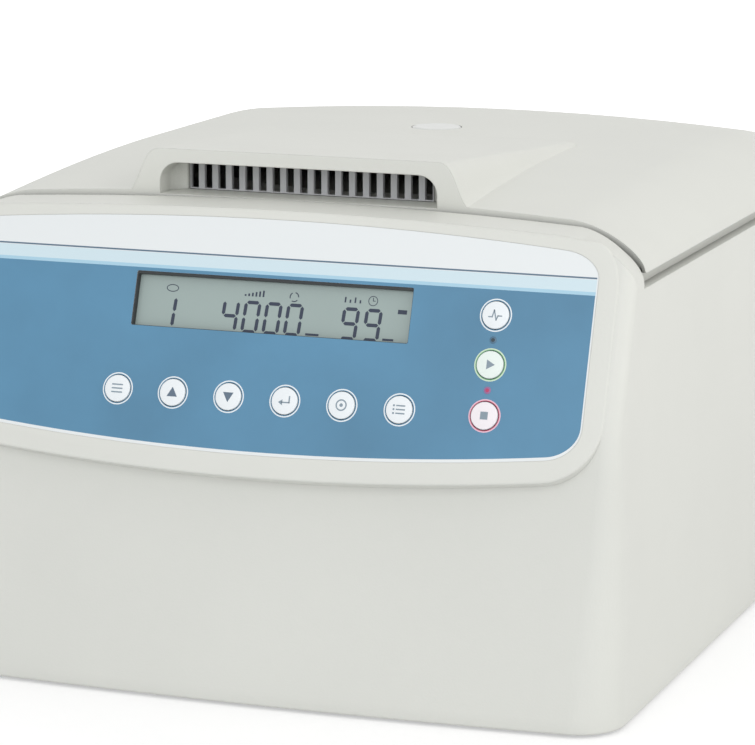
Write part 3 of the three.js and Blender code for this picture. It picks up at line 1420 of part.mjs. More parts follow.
for (const [name, side, end] of [['foot_front_left', -1, -1], ['foot_front_right', 1, -1],
  ['foot_rear_left', -1, 1], ['foot_rear_right', 1, 1]]) {
  const place = [side * (cabinetWidth / 2 - footInsetX), end * (cabinetDepth / 2 - footInsetY), 0];
  machine.add(placed(name, foot(), 'rubber', place));
}

damperPlaces().forEach(([x, y], i) => {
  machine.add(placed(`damper_${i + 1}`, damper(), 'rubber', [x, y, basePlateTop + damperBoss + seatGap]));
});

for (const [word, side] of [['left', -1], ['right', 1]]) {
  machine.add(
    piece(`hinge_bracket_${word}`, hingeBracket(side), 'zinc'),
    piece(`hinge_pin_${word}`, hingePin(side), 'steel'),
    piece(`lid_spring_${word}`, lidSpring(side), 'steel'),
  );
}

const panel = new THREE.Group();
panel.rotation.x = Math.PI / 2 - panelTilt;
panel.position.set(0, frontY - panelLead, panelOriginHeight);
machine.add(panel);
panel.add(
  piece('panel_overlay', panelOverlay(), 'overlay'),
  piece('lcd_module', lcdModule(), 'display'),
  piece('control_board', controlBoard(), 'board'),
  placed('lamp_upper', lamp(), 'lampDark', [keyColumn, lampHeights[0], 0]),
  placed('lamp_lower', lamp(), 'lampRed', [keyColumn, lampHeights[1], 0]),
);
for (const { name, x, s } of keys) {
  const look = { key_start: 'keyGreen', key_stop: 'keyRed' }[name] ?? 'keyWhite';
  panel.add(placed(name, keyCap(), look, [x, s, 0]));
}

const rocker = placed('power_rocker', powerRocker(), 'dark', rockerPlace());
rocker.rotation.x = rockerTilt;
machine.add(rocker);

const rotor = new THREE.Group();
rotor.position.y = axisY;
machine.add(rotor);
rotor.add(
  piece('rotor_spindle', rotorSpindle(), 'steel'),
  piece('rotor_body', rotorBody(), 'aluminium'),
  piece('rotor_nut', rotorNut(), 'dark'),
);
for (let i = 0; i < holderCount; i += 1) {
  const arm = new THREE.Group();
  arm.rotation.z = 2 * Math.PI * i / holderCount;
  const number = String(i + 1).padStart(2, '0');
  arm.add(placed(`card_holder_${number}`, cardHolder(), 'holder', [pivotCircle, 0, 0]));
  rotor.add(arm);
}

machine.add(
  piece('lid_shell', lidShell(), 'lid'),
  piece('lid_liner', lidLiner(), 'lid'),
  piece('lid_grille', lidGrille(), 'dark'),
  piece('viewing_port', viewingPort(), 'port'),
  piece('lid_catch', lidCatch(), 'steel'),
);

console.log(`Least gap between a lid spring's turns: ${leastSpringGap().toFixed(2)} mm`);

export default machine;
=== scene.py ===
"""Looks for the gel card centrifuge: finer pieces and finishes over the fixed CAD frame.

Sizes are in millimetres until a mesh is made. The reach of shader nodes, the lights and the camera are
in metres. The front faces -Y and +Z is up. On the panel, x runs along it, s up its slope, and a level
is measured outward from its face.
"""

import math

import bmesh
import bpy
from mathutils import Matrix, Vector
from mathutils.geometry import tessellate_polygon


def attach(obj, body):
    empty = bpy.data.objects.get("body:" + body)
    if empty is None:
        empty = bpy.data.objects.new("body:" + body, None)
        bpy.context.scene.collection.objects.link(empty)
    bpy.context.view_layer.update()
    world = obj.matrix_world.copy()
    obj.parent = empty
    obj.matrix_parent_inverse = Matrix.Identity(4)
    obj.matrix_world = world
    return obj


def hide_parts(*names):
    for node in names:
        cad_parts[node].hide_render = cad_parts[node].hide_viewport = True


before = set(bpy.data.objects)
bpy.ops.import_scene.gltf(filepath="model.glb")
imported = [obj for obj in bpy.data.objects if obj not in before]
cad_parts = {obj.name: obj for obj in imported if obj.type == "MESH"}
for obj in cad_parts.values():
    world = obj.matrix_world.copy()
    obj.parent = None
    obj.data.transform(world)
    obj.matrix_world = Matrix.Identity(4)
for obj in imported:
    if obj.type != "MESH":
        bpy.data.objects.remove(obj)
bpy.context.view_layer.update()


# A millimetre in metres, and the distance in metres within which points are one
MILLIMETRE = 0.001
MERGE = 1e-7

# Curves: how far the handles of a corner's curve reach toward the corner point, and steps and sides
ROUND = 0.5523
FLATTER = 0.38
FINE_STEPS = 24
PLAIN_STEPS = 6
SMALL_SIDES = 24

# Angles in degrees above which an edge stays sharp
SMOOTH = 35
SMOOTH_SHELL = 30
SMOOTH_ROUND = 40

# Cabinet, with the CAD part's main sizes, and how far the bodies that shape it reach past it
WIDTH = 380
DEPTH = 470
WALL = 3
BOTTOM = 1.5
LOWER_EDGE = 1.6
FOOT_SWELL = 6
FRONT_SETBACK = 7
KNEE = 110.5
FRONT_Y = FOOT_SWELL - DEPTH / 2
REAR_Y = DEPTH / 2
FRONT_CORNER_LOW = 25
FRONT_CORNER_HIGH = 8
CORNER_CHANGE = 148.5
REAR_CORNER = 12
SHELF = 213.5
SHELF_WIDTH = 6
DECK_STEP = 5
DECK = SHELF + DECK_STEP
DECK_BACK = REAR_Y - 28
REAR_OPENING = (-150, 22, 150, 190)
REAR_OPENING_CORNER = 4
CATCH_SLOT = (-4, FRONT_Y + 79.5, 4, FRONT_Y + 104.5)
STEP_OVERLAP = 2
BLANK_BELOW = 2
BLANK_TOP = 250
CUT_OVERRUN = 3
BESIDE = WIDTH / 2 + 2
BEHIND = REAR_Y + 4

# Arched top edge of the dashboard, and its back
SHOULDER = WIDTH / 2 - 40
ARCH = 242.4
ARCH_CROWN = 4.1
ARCH_START = FRONT_Y - 120
ARCH_LOW = -4
ARCH_ROUND_BACK = FRONT_Y + 38
ARCH_FLATTER_FRONT = FRONT_Y + 60
DASHBOARD_SIDE = 46
DASHBOARD_BACK = 72.5
DASHBOARD_CROWN = 3.6
OVER_ARCH = ARCH + 10

# Panel, its raised frame and its overlay
TILT = math.radians(19.5)
LEAD = 3.7
PANEL_ORIGIN = 119.3
BEZEL_STAND = 0.4
BEZEL_EDGE = 1.2
BEZEL_ROOT = 14
PANEL_INSIDE = (WALL + BEZEL_STAND) * math.cos(TILT)
SLIDE_GAP = 0.3
BEHIND_PANEL = -PANEL_INSIDE - SLIDE_GAP
PANEL = Matrix.Translation((0, FRONT_Y - LEAD, PANEL_ORIGIN)) @ Matrix.Rotation(
    math.pi / 2 - TILT, 4, "X"
)
BEZEL = dict(half=182.2, bottom=-2.66, bottom_rise=9, bottom_reach=154, side_low=38, side_high=101.7,
             top=130.2, top_drop=5.6, top_reach=168)
OVERLAY = dict(half=171.3, bottom=8.9, bottom_rise=8.9, bottom_reach=155, side_low=34, side_high=106,
               top=125.7, top_drop=6.7, top_reach=154)
OVERLAY_GAP = 0.3
OVERLAY_POCKET = -0.8
WINDOW = (-67.3, 68.9, 79.3, 96.5)
WINDOW_CORNER = 0.8

# The overlay's film and its prints: levels of their back and front, margins, and edges up the slope
FILM_LEVELS = (-0.5, -0.06)
FIELD_LEVELS = (-0.3, -0.04)
LINE_LEVELS = (-0.3, -0.03)
RING_LEVELS = (-0.1, -0.02)
FILM_GROW = 0.26
FIELD_MARGIN = 1.3
FIELD_WIDER = 0.8
BAND_MARGIN = 0.4
FIELD_TOP = 98.2
MIDDLE_TOP = 99.9
PALE_TOP = 105.9
STRIPE_LOW = 106.2
STRIPE_TOP = 107.0

# Keys and lamps: places on the panel, as x and s
ROW = 36.5
ROW_START = -69.95
ROW_PITCH = 29.8
COLUMN = 122.4
KEYS = {name: (ROW_START + ROW_PITCH * i, ROW)
        for i, name in enumerate(("set", "up", "down", "enter", "rcf", "program"))}
KEYS.update(pulse=(COLUMN, 85.7), start=(COLUMN, 61.5), stop=(COLUMN, 36.7))
KEY_RADIUS = 6.7
KEY_HOLE = KEY_RADIUS + 0.4
KEY_TOP = 0.9
KEY_EDGE = 0.45
KEY_FLANGE = 8.2
KEY_FLANGE_SHEET = 1.1
RING_OUTSIDE = 8.1
RING_MIDDLE = 7.5
RING_INSIDE = 7.12
KEY_SIDES = 64
MARK_LEVELS = (KEY_TOP - 0.05, KEY_TOP + 0.02)
LAMPS = {"lamp_upper": (COLUMN, 73.6), "lamp_lower": (COLUMN, 49.1)}
LAMP_RADIUS = 1.8
LAMP_DOME = 0.12
LAMP_FLANGE = 2.6
LAMP_ROOT = -6
LAMP_SIDES = 40
LAMP_CORE = 0.95
LAMP_CORE_LEVELS = (0.05, 0.16)
LAMP_HOLE = 2.1
LAMP_FILM_HOLE = 1.83
HOLE_DEPTH = -9
NEAR_AXIS = 0.001

# Display
DIGIT_WIDTH = 7.2
DIGIT_HEIGHT = 14.6
DIGIT_BAR = 1.75
DIGIT_SLANT = 0.05
DIGIT_GAP = 0.35
DIGIT_LOW = 69.9
MODULE_EDGE = 4.2
MODULE_TOP_EDGE = 2.3
MODULE_DEPTH = 4.4
# The dark frame in the display's window is painted shadow of the window's walls, widest at the top and left
FRAME_GAP = 0.02
FRAME_LEVELS = (BEHIND_PANEL + 0.02, -0.55)
FRAME_INSIDE_CORNER = 0.6
FRAME_LEFT = 0.8
FRAME_THIN = 0.3
FRAME_TOP = 1.3
SEGMENT_LEVELS = (BEHIND_PANEL + 0.01, BEHIND_PANEL + 0.06)

# Rotor axis, the steel bowl around it and the bowl's seal
AXIS_Y = FRONT_Y + 285
BOWL_RADIUS = 142
BOWL_SHEET = 1.5
BOWL_FLOOR = 108
BOWL_CORNER = 14
BOWL_RIM = 218.8
BOWL_FLANGE = 6.5
BOWL_NECK = 26
BOWL_NECK_HEIGHT = 8
BOWL_HOLE = 143.9
BOWL_HOLE_SIDES = 96
BOWL_SIDES = 120
BEND_STEPS = 10
SEAL_LOW = 220.6
SEAL_TOP = 225
SEAL_SIDE = 223.53
SEAL_CROWN_DROP = 0.4
SEAL_CROWN_INSET = 1
SEAL_INSIDE = 143
SEAL_WIDTH = 5

# Lid
LID_LOWER = 219.6
LID_SIDE_GAP = 1.5
LID_SHOULDER = WIDTH / 2 - 45.5
LID_FRONT = FRONT_Y + 75
LID_BACK = FRONT_Y + 460
LID_WALL = 2.5
LID_FRONT_TOP = 245.3
LID_TOP = 254
LID_RISE_LENGTH = 170
LID_FALL_LENGTH = 110
LID_REAR_DROP = 17
LID_CROWN_FRONT = 4.3
LID_CROWN_BACK = 6
LID_REAR_EDGE = 2
LID_REAR_CORNER = 12
LID_REAR_SHARE = 0.98
LID_INSIDE_BELOW = 2
LID_REAR_RELIEF = (LID_BACK - 14, 210, LID_BACK + 2, 226)
SEAM_SIDE = 6.5
SEAM_MIDDLE = 2.5
NOSE = FRONT_Y + DASHBOARD_SIDE + SEAM_SIDE
NOSE_ROUND = 4
NOSE_LEAN = 0.6
NOSE_CUT_FRONT = NOSE - 3
NOSE_CUT_LOW = 216
LINER_TOP = 227.3
BOSS_X = 162.5
BOSS_RADIUS = 5
BOSS_LOW = LINER_TOP + 0.3
BOSS_ROWS = (LID_FRONT + 26, LID_BACK - 52)
PORT_BORE = 12.8
PORT_SEAT = 14.05
PORT_SEAT_LOW = 253
UNDER_LID = LID_LOWER - 4
OVER_LID = 270

# Hood over the intake, from its front to where it runs out in the lid's top
HOOD_FRONT = FRONT_Y + 68.9
HOOD_BACK = FRONT_Y + 252
HOOD_LOW = 236
HOOD_FEET = (94, 96)
HOOD_SHOULDERS = (75, 86)
HOOD_TOPS = (265.8, LID_TOP)
HOOD_SKIRT = 1.2
HOOD_LEAST = 0.6
HOOD_WAIST = 0.45

# Intake opening, its duct and the grille
INTAKE_HALF = 74.8
INTAKE_TOP = 258.4
INTAKE_LOW = 242.3
INTAKE_CORNER = 10
DUCT_WALL = 2
DUCT_SETBACK = 1.2
DUCT_BACK = LID_FRONT + 23
DUCT_CUT = (FRONT_Y + 40, LID_FRONT + 25)
DUCT_REAR_CLEARANCE = 0.2
CHEEK_OUTSIDE = 75.8
CHEEK_INSIDE = 66.2
CHEEK_FRONT = LID_FRONT + 5
CHEEK_BACK = LID_FRONT + 18.4
CHEEK_LEVELS = (241.5, 259)
GRILLE_FRONT = LID_FRONT + 18.5
GRILLE_BACK = LID_FRONT + 21
GRILLE_SLOTS = 18
GRILLE_HALF = 67.4
GRILLE_GAP = 0.3
SLOT_HALF = 2.1
SLOT_LOW = 243.1
SLOT_TOP = 257.2
SLOT_CORNER = 0.5

# Painted shade in creases: reach and openness of the painted shade in gaps, and the heights where it fades
# over the floor
PAINTED_SHADE_REACH = 0.012
PAINTED_SHADE_OPEN = 0.56
PAINTED_SHADE_FADE = (0.012, 0.03)

# Mottle and grain: how much of the noise's range is used, fineness and depth
MOTTLE_RANGE = (0.3, 0.7)
MOTTLE_DETAIL = 4
GRAIN_SCALE = 900
GRAIN_DETAIL = 2
GRAIN_DEPTH = 0.0002

# Studio: strengths of the world, the floor's glow near and far, lights and the camera
WORLD_LEVEL = 0.74
WHITE = (1, 1, 1, 1)
FLOOR_HALF = 6000
FLOOR_COLOUR = (0.8, 0.8, 0.81, 1)
FLOOR_ROUGHNESS = 0.9
FLOOR_SEEN = (0.6, 0.6, 0.6, 1)
GLOW_DISTANCES = (0.3, 1.0)
GLOW_LEVELS = (0.44, 0.8)
LIGHT_AIM = (0, 0, 0.1)
LIGHTS = {
    "top": dict(place=(0.2, -0.1, 2.2), size=(2.4, 2.0), power=2, colour=(1, 0.99, 0.97)),
    "right": dict(place=(2.4, -0.4, 1.3), size=(1.6, 1.6), power=16, colour=(1, 0.985, 0.95)),
    "front": dict(place=(0.4, -2.8, 1.4), size=(1.8, 1.4), power=19.5, colour=(0.965, 0.985, 1)),
}
CAMERA_AZIMUTH = math.radians(20.4)
CAMERA_ELEVATION = math.radians(11.3)
CAMERA_PLACE = (0.6656, -1.828, 0.514)
CAMERA_SENSOR = 36
CAMERA_LENS = 172.6
CAMERA_NEAR = 0.05
CAMERA_FAR = 100


# Finishes


def linear(red, green, blue):
    """A colour as seen on a screen, from 0 to 255, as the shader wants it."""
    def one(value):
        value /= 255
        return value / 12.92 if value <= 0.04045 else ((value + 0.055) / 1.055) ** 2.4
    return (one(red), one(green), one(blue), 1)


def combine(nodes, links, operation, first, second):
    """The value of a Math node on two sockets."""
    node = nodes.new("ShaderNodeMath")
    node.operation = operation
    links.new(first, node.inputs[0])
    links.new(second, node.inputs[1])
    return node.outputs["Value"]


def rescale(nodes, links, value, source, target):
    """A value taken from one range to another, and held within it."""
    node = nodes.new("ShaderNodeMapRange")
    for name, number in zip(("From Min", "From Max", "To Min", "To Max"), (*source, *target)):
        node.inputs[name].default_value = number
    links.new(value, node.inputs["Value"])
    return node.outputs["Result"]


def noise(nodes, links, place, scale, detail):
    node = nodes.new("ShaderNodeTexNoise")
    node.inputs["Scale"].default_value = scale
    node.inputs["Detail"].default_value = detail
    links.new(place, node.inputs["Vector"])
    return node.outputs["Fac"]


def painted_shade_level(nodes, links, painted_shade):
    """Painted shade: below one in narrow gaps, but not in the gap over the floor."""
    near = nodes.new("ShaderNodeAmbientOcclusion")
    near.samples = 8
    near.inputs["Distance"].default_value = PAINTED_SHADE_REACH
    gap = rescale(nodes, links, near.outputs["AO"], (0, PAINTED_SHADE_OPEN), (1 - painted_shade, 1))
    parts = nodes.new("ShaderNodeSeparateXYZ")
    links.new(nodes.new("ShaderNodeNewGeometry").outputs["Position"], parts.inputs[0])
    low = rescale(nodes, links, parts.outputs["Z"], PAINTED_SHADE_FADE, (1, 0))
    return combine(nodes, links, "MAXIMUM", gap, low)


def finish(name, colour, roughness, metallic=0, mottle=0, scale=30, grain=0, coat=0, bevel=0, painted_shade=0):
    """A procedural finish: a colour with a soft mottle, painted shade in creases, a fine grain and softened
    edges.

    Painted shade in creases needs a mottle, and softened edges need a grain.
    """
    made = bpy.data.materials.new(name)
    made.use_nodes = True
    nodes, links = made.node_tree.nodes, made.node_tree.links
    shader = nodes["Principled BSDF"]
    shader.inputs["Base Color"].default_value = colour
    shader.inputs["Roughness"].default_value = roughness
    shader.inputs["Metallic"].default_value = metallic
    shader.inputs["Coat Weight"].default_value = coat
    place = nodes.new("ShaderNodeTexCoord").outputs["Object"]
    if mottle:
        cloud = noise(nodes, links, place, scale, MOTTLE_DETAIL)
        level = rescale(nodes, links, cloud, MOTTLE_RANGE, (1 - mottle, 1 + mottle))
        if painted_shade:
            # Painted shade: the colour is darkened in gaps and creases, where shade falls.
            level = combine(nodes, links, "MULTIPLY", level, painted_shade_level(nodes, links, painted_shade))
        tint = nodes.new("ShaderNodeVectorMath")
        tint.operation = "SCALE"
        tint.inputs[0].default_value = colour[:3]
        links.new(level, tint.inputs["Scale"])
        links.new(tint.outputs["Vector"], shader.inputs["Base Color"])
    if grain:
        bump = nodes.new("ShaderNodeBump")
        bump.inputs["Strength"].default_value = grain
        bump.inputs["Distance"].default_value = GRAIN_DEPTH
        links.new(noise(nodes, links, place, GRAIN_SCALE, GRAIN_DETAIL), bump.inputs["Height"])
        links.new(bump.outputs["Normal"], shader.inputs["Normal"])
        if bevel:
            soft = nodes.new("ShaderNodeBevel")
            soft.samples = 6
            soft.inputs["Radius"].default_value = bevel
            links.new(soft.outputs["Normal"], bump.inputs["Normal"])
    return made


# The cabinet and the lid get painted shade in their gaps and creases.
CABINET, LID = (finish(name, linear(217, 218, 212), 0.5, mottle=0.012, scale=14, grain=0.25, bevel=0.0009,
                       painted_shade=0.85) for name in ("cabinet", "lid"))
FILM_WHITE = finish("film_white", linear(229, 233, 234), 0.35)
FILM_PALE = finish("film_pale", linear(206, 225, 233), 0.35)
FILM_MIDDLE = finish("film_middle", linear(168, 206, 225), 0.35)
FILM_STRIPE = finish("film_stripe", linear(88, 112, 132), 0.35)
FILM_BLUE = finish("film_blue", linear(84, 135, 167), 0.4, mottle=0.1, scale=16)
PRINT = finish("print", linear(92, 110, 128), 0.45)
PRINT_PALE = finish("print_pale", linear(132, 148, 160), 0.45)
KEY_WHITE = finish("key_white", linear(234, 239, 242), 0.4)
KEY_GREEN = finish("key_green", linear(230, 240, 235), 0.4)
KEY_RED = finish("key_red", linear(240, 234, 238), 0.4)
RING_GREEN = finish("ring_green", linear(112, 172, 122), 0.4)
RING_RED = finish("ring_red", linear(180, 58, 88), 0.4)
RING_PALE_GREEN = finish("ring_pale_green", linear(206, 226, 200), 0.4)
RING_PALE_RED = finish("ring_pale_red", linear(232, 190, 206), 0.4)
LAMP_DARK = finish("lamp_dark", linear(70, 108, 134), 0.3)
LAMP_DARK_CORE = finish("lamp_dark_core", linear(44, 62, 72), 0.3)
LAMP_RED = finish("lamp_red", linear(146, 102, 148), 0.3)
LAMP_RED_CORE = finish("lamp_red_core", linear(182, 56, 102), 0.3)
DISPLAY = finish("display", linear(156, 171, 168), 0.3, mottle=0.02, scale=20)
SEGMENT = finish("segment", linear(42, 52, 72), 0.5)
# Painted shadow: the colour of the dark frame inside the display's window
WINDOW_SHADOW_DARK = finish("window_shadow_dark", linear(40, 44, 46), 0.5)
DARK = finish("dark", linear(40, 41, 43), 0.5, grain=0.2)
GRILLE = finish("grille", linear(186, 187, 190), 0.5)
PORT = finish("port", linear(212, 214, 211), 0.3, coat=0.15)
RUBBER = finish("rubber", linear(34, 35, 36), 0.75, grain=0.3)
STEEL = finish("steel", linear(196, 198, 200), 0.28, metallic=1.0, mottle=0.02)
BOWL_STEEL = finish("bowl_steel", linear(205, 206, 207), 0.3, metallic=1.0, mottle=0.02)
ALUMINIUM = finish("aluminium", linear(196, 199, 203), 0.36, metallic=1.0)
ZINC = finish("zinc", linear(172, 176, 178), 0.42, metallic=0.9, mottle=0.05, scale=60)
BOARD = finish("board", linear(38, 92, 60), 0.5)
MOTOR = finish("motor", linear(70, 73, 76), 0.45, metallic=0.3)
HOLDER = finish("holder", linear(226, 229, 231), 0.4)


# Shapes


def steps_for(fine):
    return FINE_STEPS if fine else PLAIN_STEPS


def mix(a, b, share):
    return a + (b - a) * share


def clamp(value):
    return max(0.0, min(1.0, value))


def shade(mesh, smooth):
    mesh.polygons.foreach_set("use_smooth", [True] * len(mesh.polygons))
    mesh.set_sharp_from_angle(angle=math.radians(smooth))
    mesh.update()


def build(name, points, faces, material, smooth=SMOOTH):
    """A mesh object from points in millimetres. Edges sharper than smooth stay sharp."""
    mesh = bpy.data.meshes.new(name)
    mesh.from_pydata([Vector(p) * MILLIMETRE for p in points], [], faces)
    made = bmesh.new()
    made.from_mesh(mesh)
    bmesh.ops.remove_doubles(made, verts=made.verts, dist=MERGE)
    bmesh.ops.recalc_face_normals(made, faces=made.faces)
    made.to_mesh(mesh)
    made.free()
    mesh.materials.append(material)
    shade(mesh, smooth)
    thing = bpy.data.objects.new(name, mesh)
    bpy.context.scene.collection.objects.link(thing)
    return thing


def loft(rings):
    """Points and faces of a closed body through rings of equal length."""
    count = len(rings[0])
    points = [p for ring in rings for p in ring]
    faces = []
    for r in range(len(rings) - 1):
        for i in range(count):
            a, b = r * count + i, r * count + (i + 1) % count
            faces.append((a, b, b + count, a + count))
    faces.append(tuple(range(count)))
    faces.append(tuple(range(len(points) - count, len(points))))
    return points, faces


def prism(outline, start, end, matrix, holes=()):
    """Points and faces of an outline, with holes, that runs from start to end along the third axis."""
    loops = [list(outline), *[list(hole) for hole in holes]]
    flat = [Vector((u, v, 0)) for loop in loops for u, v in loop]
    count = len(flat)
    points = [matrix @ Vector((p.x, p.y, n)) for n in (start, end) for p in flat]
    caps = tessellate_polygon([[Vector((u, v, 0)) for u, v in loop] for loop in loops])
    faces = [tuple(cap) for cap in caps] + [tuple(i + count for i in cap) for cap in caps]
    first = 0
    for loop in loops:
        for i in range(len(loop)):
            a, b = first + i, first + (i + 1) % len(loop)
            faces.append((a, b, b + count, a + count))
        first += len(loop)
    return points, faces


def along_x(outline, start, end):
    basis = Matrix(((0, 0, 1, 0), (1, 0, 0, 0), (0, 1, 0, 0), (0, 0, 0, 1)))
    return prism(outline, start, end, basis)


def along_y(outline, start, end, holes=()):
    basis = Matrix(((1, 0, 0, 0), (0, 0, 1, 0), (0, 1, 0, 0), (0, 0, 0, 1)))
    return prism(outline, start, end, basis, holes)


def along_z(outline, start, end):
    return prism(outline, start, end, Matrix.Identity(4))


def on_panel(outline, start, end, holes=()):
    return prism(outline, start, end, PANEL, holes)


def revolve(profile, sides, centre_y=0, closed=False):
    """Points and faces of a profile of radius and height, turned round the vertical at x = 0."""
    points, faces = [], []
    for r, z in profile:
        for k in range(sides):
            angle = 2 * math.pi * k / sides
            points.append((r * math.sin(angle), centre_y - r * math.cos(angle), z))
    spans = len(profile) if closed else len(profile) - 1
    for i in range(spans):
        j = (i + 1) % len(profile)
        for k in range(sides):
            m = (k + 1) % sides
            faces.append((i * sides + k, i * sides + m, j * sides + m, j * sides + k))
    return points, faces


def arc(centre_u, centre_v, radius_u, radius_v, start, end, steps):
    made = []
    for i in range(steps + 1):
        angle = math.radians(start + (end - start) * i / steps)
        made.append((centre_u + radius_u * math.cos(angle), centre_v + radius_v * math.sin(angle)))
    return made


def circle(u, v, radius, sides=48):
    return arc(u, v, radius, radius, 0, 360, sides)[:-1]


def rectangle(left, low, right, high):
    return [(left, low), (right, low), (right, high), (left, high)]


def rounded(left, low, right, high, radius, steps=6):
    return [*arc(right - radius, low + radius, radius, radius, -90, 0, steps),
            *arc(right - radius, high - radius, radius, radius, 0, 90, steps),
            *arc(left + radius, high - radius, radius, radius, 90, 180, steps),
            *arc(left + radius, low + radius, radius, radius, 180, 270, steps)]


def curve(a, b, c, d, steps):
    """Points on a cubic curve from a to d, which is drawn toward b and c."""
    made = []
    for i in range(steps + 1):
        t = i / steps
        near = a * (1 - t) ** 3 + b * 3 * t * (1 - t) ** 2
        made.append(tuple(near + c * 3 * t * t * (1 - t) + d * t ** 3))
    return made


def bend(start, point, end, steps=12, share=ROUND):
    """A rounded corner between two points, tangent to the lines from each to the corner point."""
    a, b, c = Vector(start), Vector(point), Vector(end)
    return curve(a, a.lerp(b, share), c.lerp(b, share), c, steps)


def shoulder_line(half, side, reach, middle, drop, share, steps):
    """A line from side to side that is bowed up a little to its shoulders and turns down at both ends."""
    def bow(x):
        return middle - drop * (x / reach) ** 2

    turn = bow(reach) - 2 * drop * (half - reach) / reach
    right = [*bend((half, side), (half, turn), (reach, bow(reach)), steps, share),
             *[(reach * k / 6, bow(reach * k / 6)) for k in (5, 4, 3, 2, 1)]]
    return [*right, (0, middle), *[(-x, v) for x, v in reversed(right)]]


def join(bodies):
    """One set of points and faces from several."""
    points, faces = [], []
    for more_points, more_faces in bodies:
        faces += [tuple(i + len(points) for i in face) for face in more_faces]
        points += more_points
    return points, faces


def tool(*bodies):
    """A body to cut or join with, made of one or more sets of points and faces."""
    return build("tool", *join(bodies), CABINET)


def carve(thing, other, operation="DIFFERENCE"):
    """Cuts, joins or crosses a body with a second one, which is then gone."""
    change = thing.modifiers.new("carve", "BOOLEAN")
    change.operation = operation
    change.object = other
    change.solver = "EXACT"
    settled = bpy.data.meshes.new_from_object(thing.evaluated_get(bpy.context.evaluated_depsgraph_get()))
    thing.modifiers.clear()
    thing.data = settled
    bpy.data.objects.remove(other)
    return thing


def stand_for(thing, body, *nodes, slot):
    """Puts a piece on its body, in place of the nodes that it stands for."""
    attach(thing, body)
    if nodes:
        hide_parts(*nodes)


def settle(shell, name, material):
    """Names a carved body and gives it its finish."""
    shell.name = name
    shell.data.materials.clear()
    shell.data.materials.append(material)
    shade(shell.data, SMOOTH_SHELL)


# Cabinet


def panel_outline(half, bottom, bottom_rise, bottom_reach, side_low, side_high, top, top_drop, top_reach,
                  grow=0.0):
    """An outline with a bowed top and bottom and round corners, grown outward by grow."""
    steps = FINE_STEPS

    def bottom_at(x):
        return bottom - grow + bottom_rise * (x / bottom_reach) ** 2

    def top_at(x):
        return top + grow - top_drop * (x / top_reach) ** 2

    def spread(reach, place):
        return [(reach * (2 * i / steps - 1), place(reach * (2 * i / steps - 1))) for i in range(1, steps)]

    side = half + grow
    low_turn = bottom_at(bottom_reach) + 2 * bottom_rise * (side - bottom_reach) / bottom_reach
    high_turn = top_at(top_reach) - 2 * top_drop * (side - top_reach) / top_reach
    right = [*bend((bottom_reach, bottom_at(bottom_reach)), (side, low_turn), (side, side_low)),
             *bend((side, side_high), (side, high_turn), (top_reach, top_at(top_reach)))]
    left = [(-x, s) for x, s in reversed(right)]
    return [*spread(bottom_reach, bottom_at), *right, *reversed(spread(top_reach, top_at)), *left]


def front_level(z):
    """Where the front stands at a height: bowed in up to the knee, and sloped behind the panel."""
    share = clamp((z - BOTTOM) / KNEE)
    lower = FRONT_Y + FRONT_SETBACK * math.sin(share * math.pi / 2)
    sloped = FRONT_Y - LEAD + BEZEL_STAND + (z - PANEL_ORIGIN) * math.tan(TILT)
    return max(lower, sloped)


def cabinet_outline(z, inset, face_steps, turn_steps):
    """The cabinet's outline in plan at a height."""
    change = clamp((z - BOTTOM) / CORNER_CHANGE)
    radius = max(mix(FRONT_CORNER_LOW, FRONT_CORNER_HIGH, change) - inset, WALL)
    back_radius = max(REAR_CORNER - inset, WALL)
    swell = FOOT_SWELL * (1 - clamp((z - BOTTOM) / KNEE))
    half = WIDTH / 2 - inset
    front = front_level(z) + inset
    back = REAR_Y - inset
    reach = half - radius
    made = []
    for i in range(1, face_steps):
        share = 2 * i / face_steps - 1
        made.append((share * reach, front - swell * (1 - share * share)))
    made += arc(reach, front + radius, radius, radius, -90, 0, turn_steps)
    made += arc(half - back_radius, back - back_radius, back_radius, back_radius, 0, 90, turn_steps)
    made += arc(back_radius - half, back - back_radius, back_radius, back_radius, 90, 180, turn_steps)
    made += arc(-reach, front + radius, radius, radius, 180, 270, turn_steps)
    return [(x, y, z) for x, y in made]


def cabinet_blank(inset, fine):
    """The cabinet's body before its top is shaped. Only the fine one has a rounded lower edge."""
    face_steps, turn_steps = (24, 10) if fine else (8, 4)
    edge_steps, knee_steps = (4, 18) if fine else (0, 5)
    rings = []
    for i in range(edge_steps):
        angle = math.pi / 2 * i / edge_steps
        sunk = LOWER_EDGE * (1 - math.sin(angle))
        ring = cabinet_outline(BOTTOM + LOWER_EDGE, sunk, face_steps, turn_steps)
        rings.append([(x, y, BOTTOM + LOWER_EDGE * (1 - math.cos(angle))) for x, y, _ in ring])
    if fine:
        levels = [BOTTOM + LOWER_EDGE + (KNEE - LOWER_EDGE) * i / knee_steps for i in range(knee_steps + 1)]
    else:
        levels = [BOTTOM - BLANK_BELOW, *[BOTTOM + KNEE * i / knee_steps for i in range(1, knee_steps + 1)]]
    crossing = PANEL_ORIGIN + (FRONT_SETBACK + LEAD - BEZEL_STAND) / math.tan(TILT)
    levels += [mix(levels[-1], crossing, 0.5), crossing, mix(crossing, SHELF, 0.5), SHELF, BLANK_TOP]
    rings += [cabinet_outline(z, inset, face_steps, turn_steps) for z in levels]
    return loft(rings)


def under_arch(inset, steps):
    """The space under the arched top edge."""
    side = SHELF - inset
    rings = []
    for y, share in ((ARCH_START, ROUND), (ARCH_ROUND_BACK, ROUND), (ARCH_FLATTER_FRONT, FLATTER),
                     (REAR_Y + CUT_OVERRUN, FLATTER)):
        line = shoulder_line(WIDTH / 2 - inset, side, SHOULDER, ARCH - inset, ARCH_CROWN, share, steps)
        section = [(-BESIDE, ARCH_LOW), (BESIDE, ARCH_LOW), (BESIDE, side), *line, (-BESIDE, side)]
        rings.append([(x, y, z) for x, z in section])
    return loft(rings)


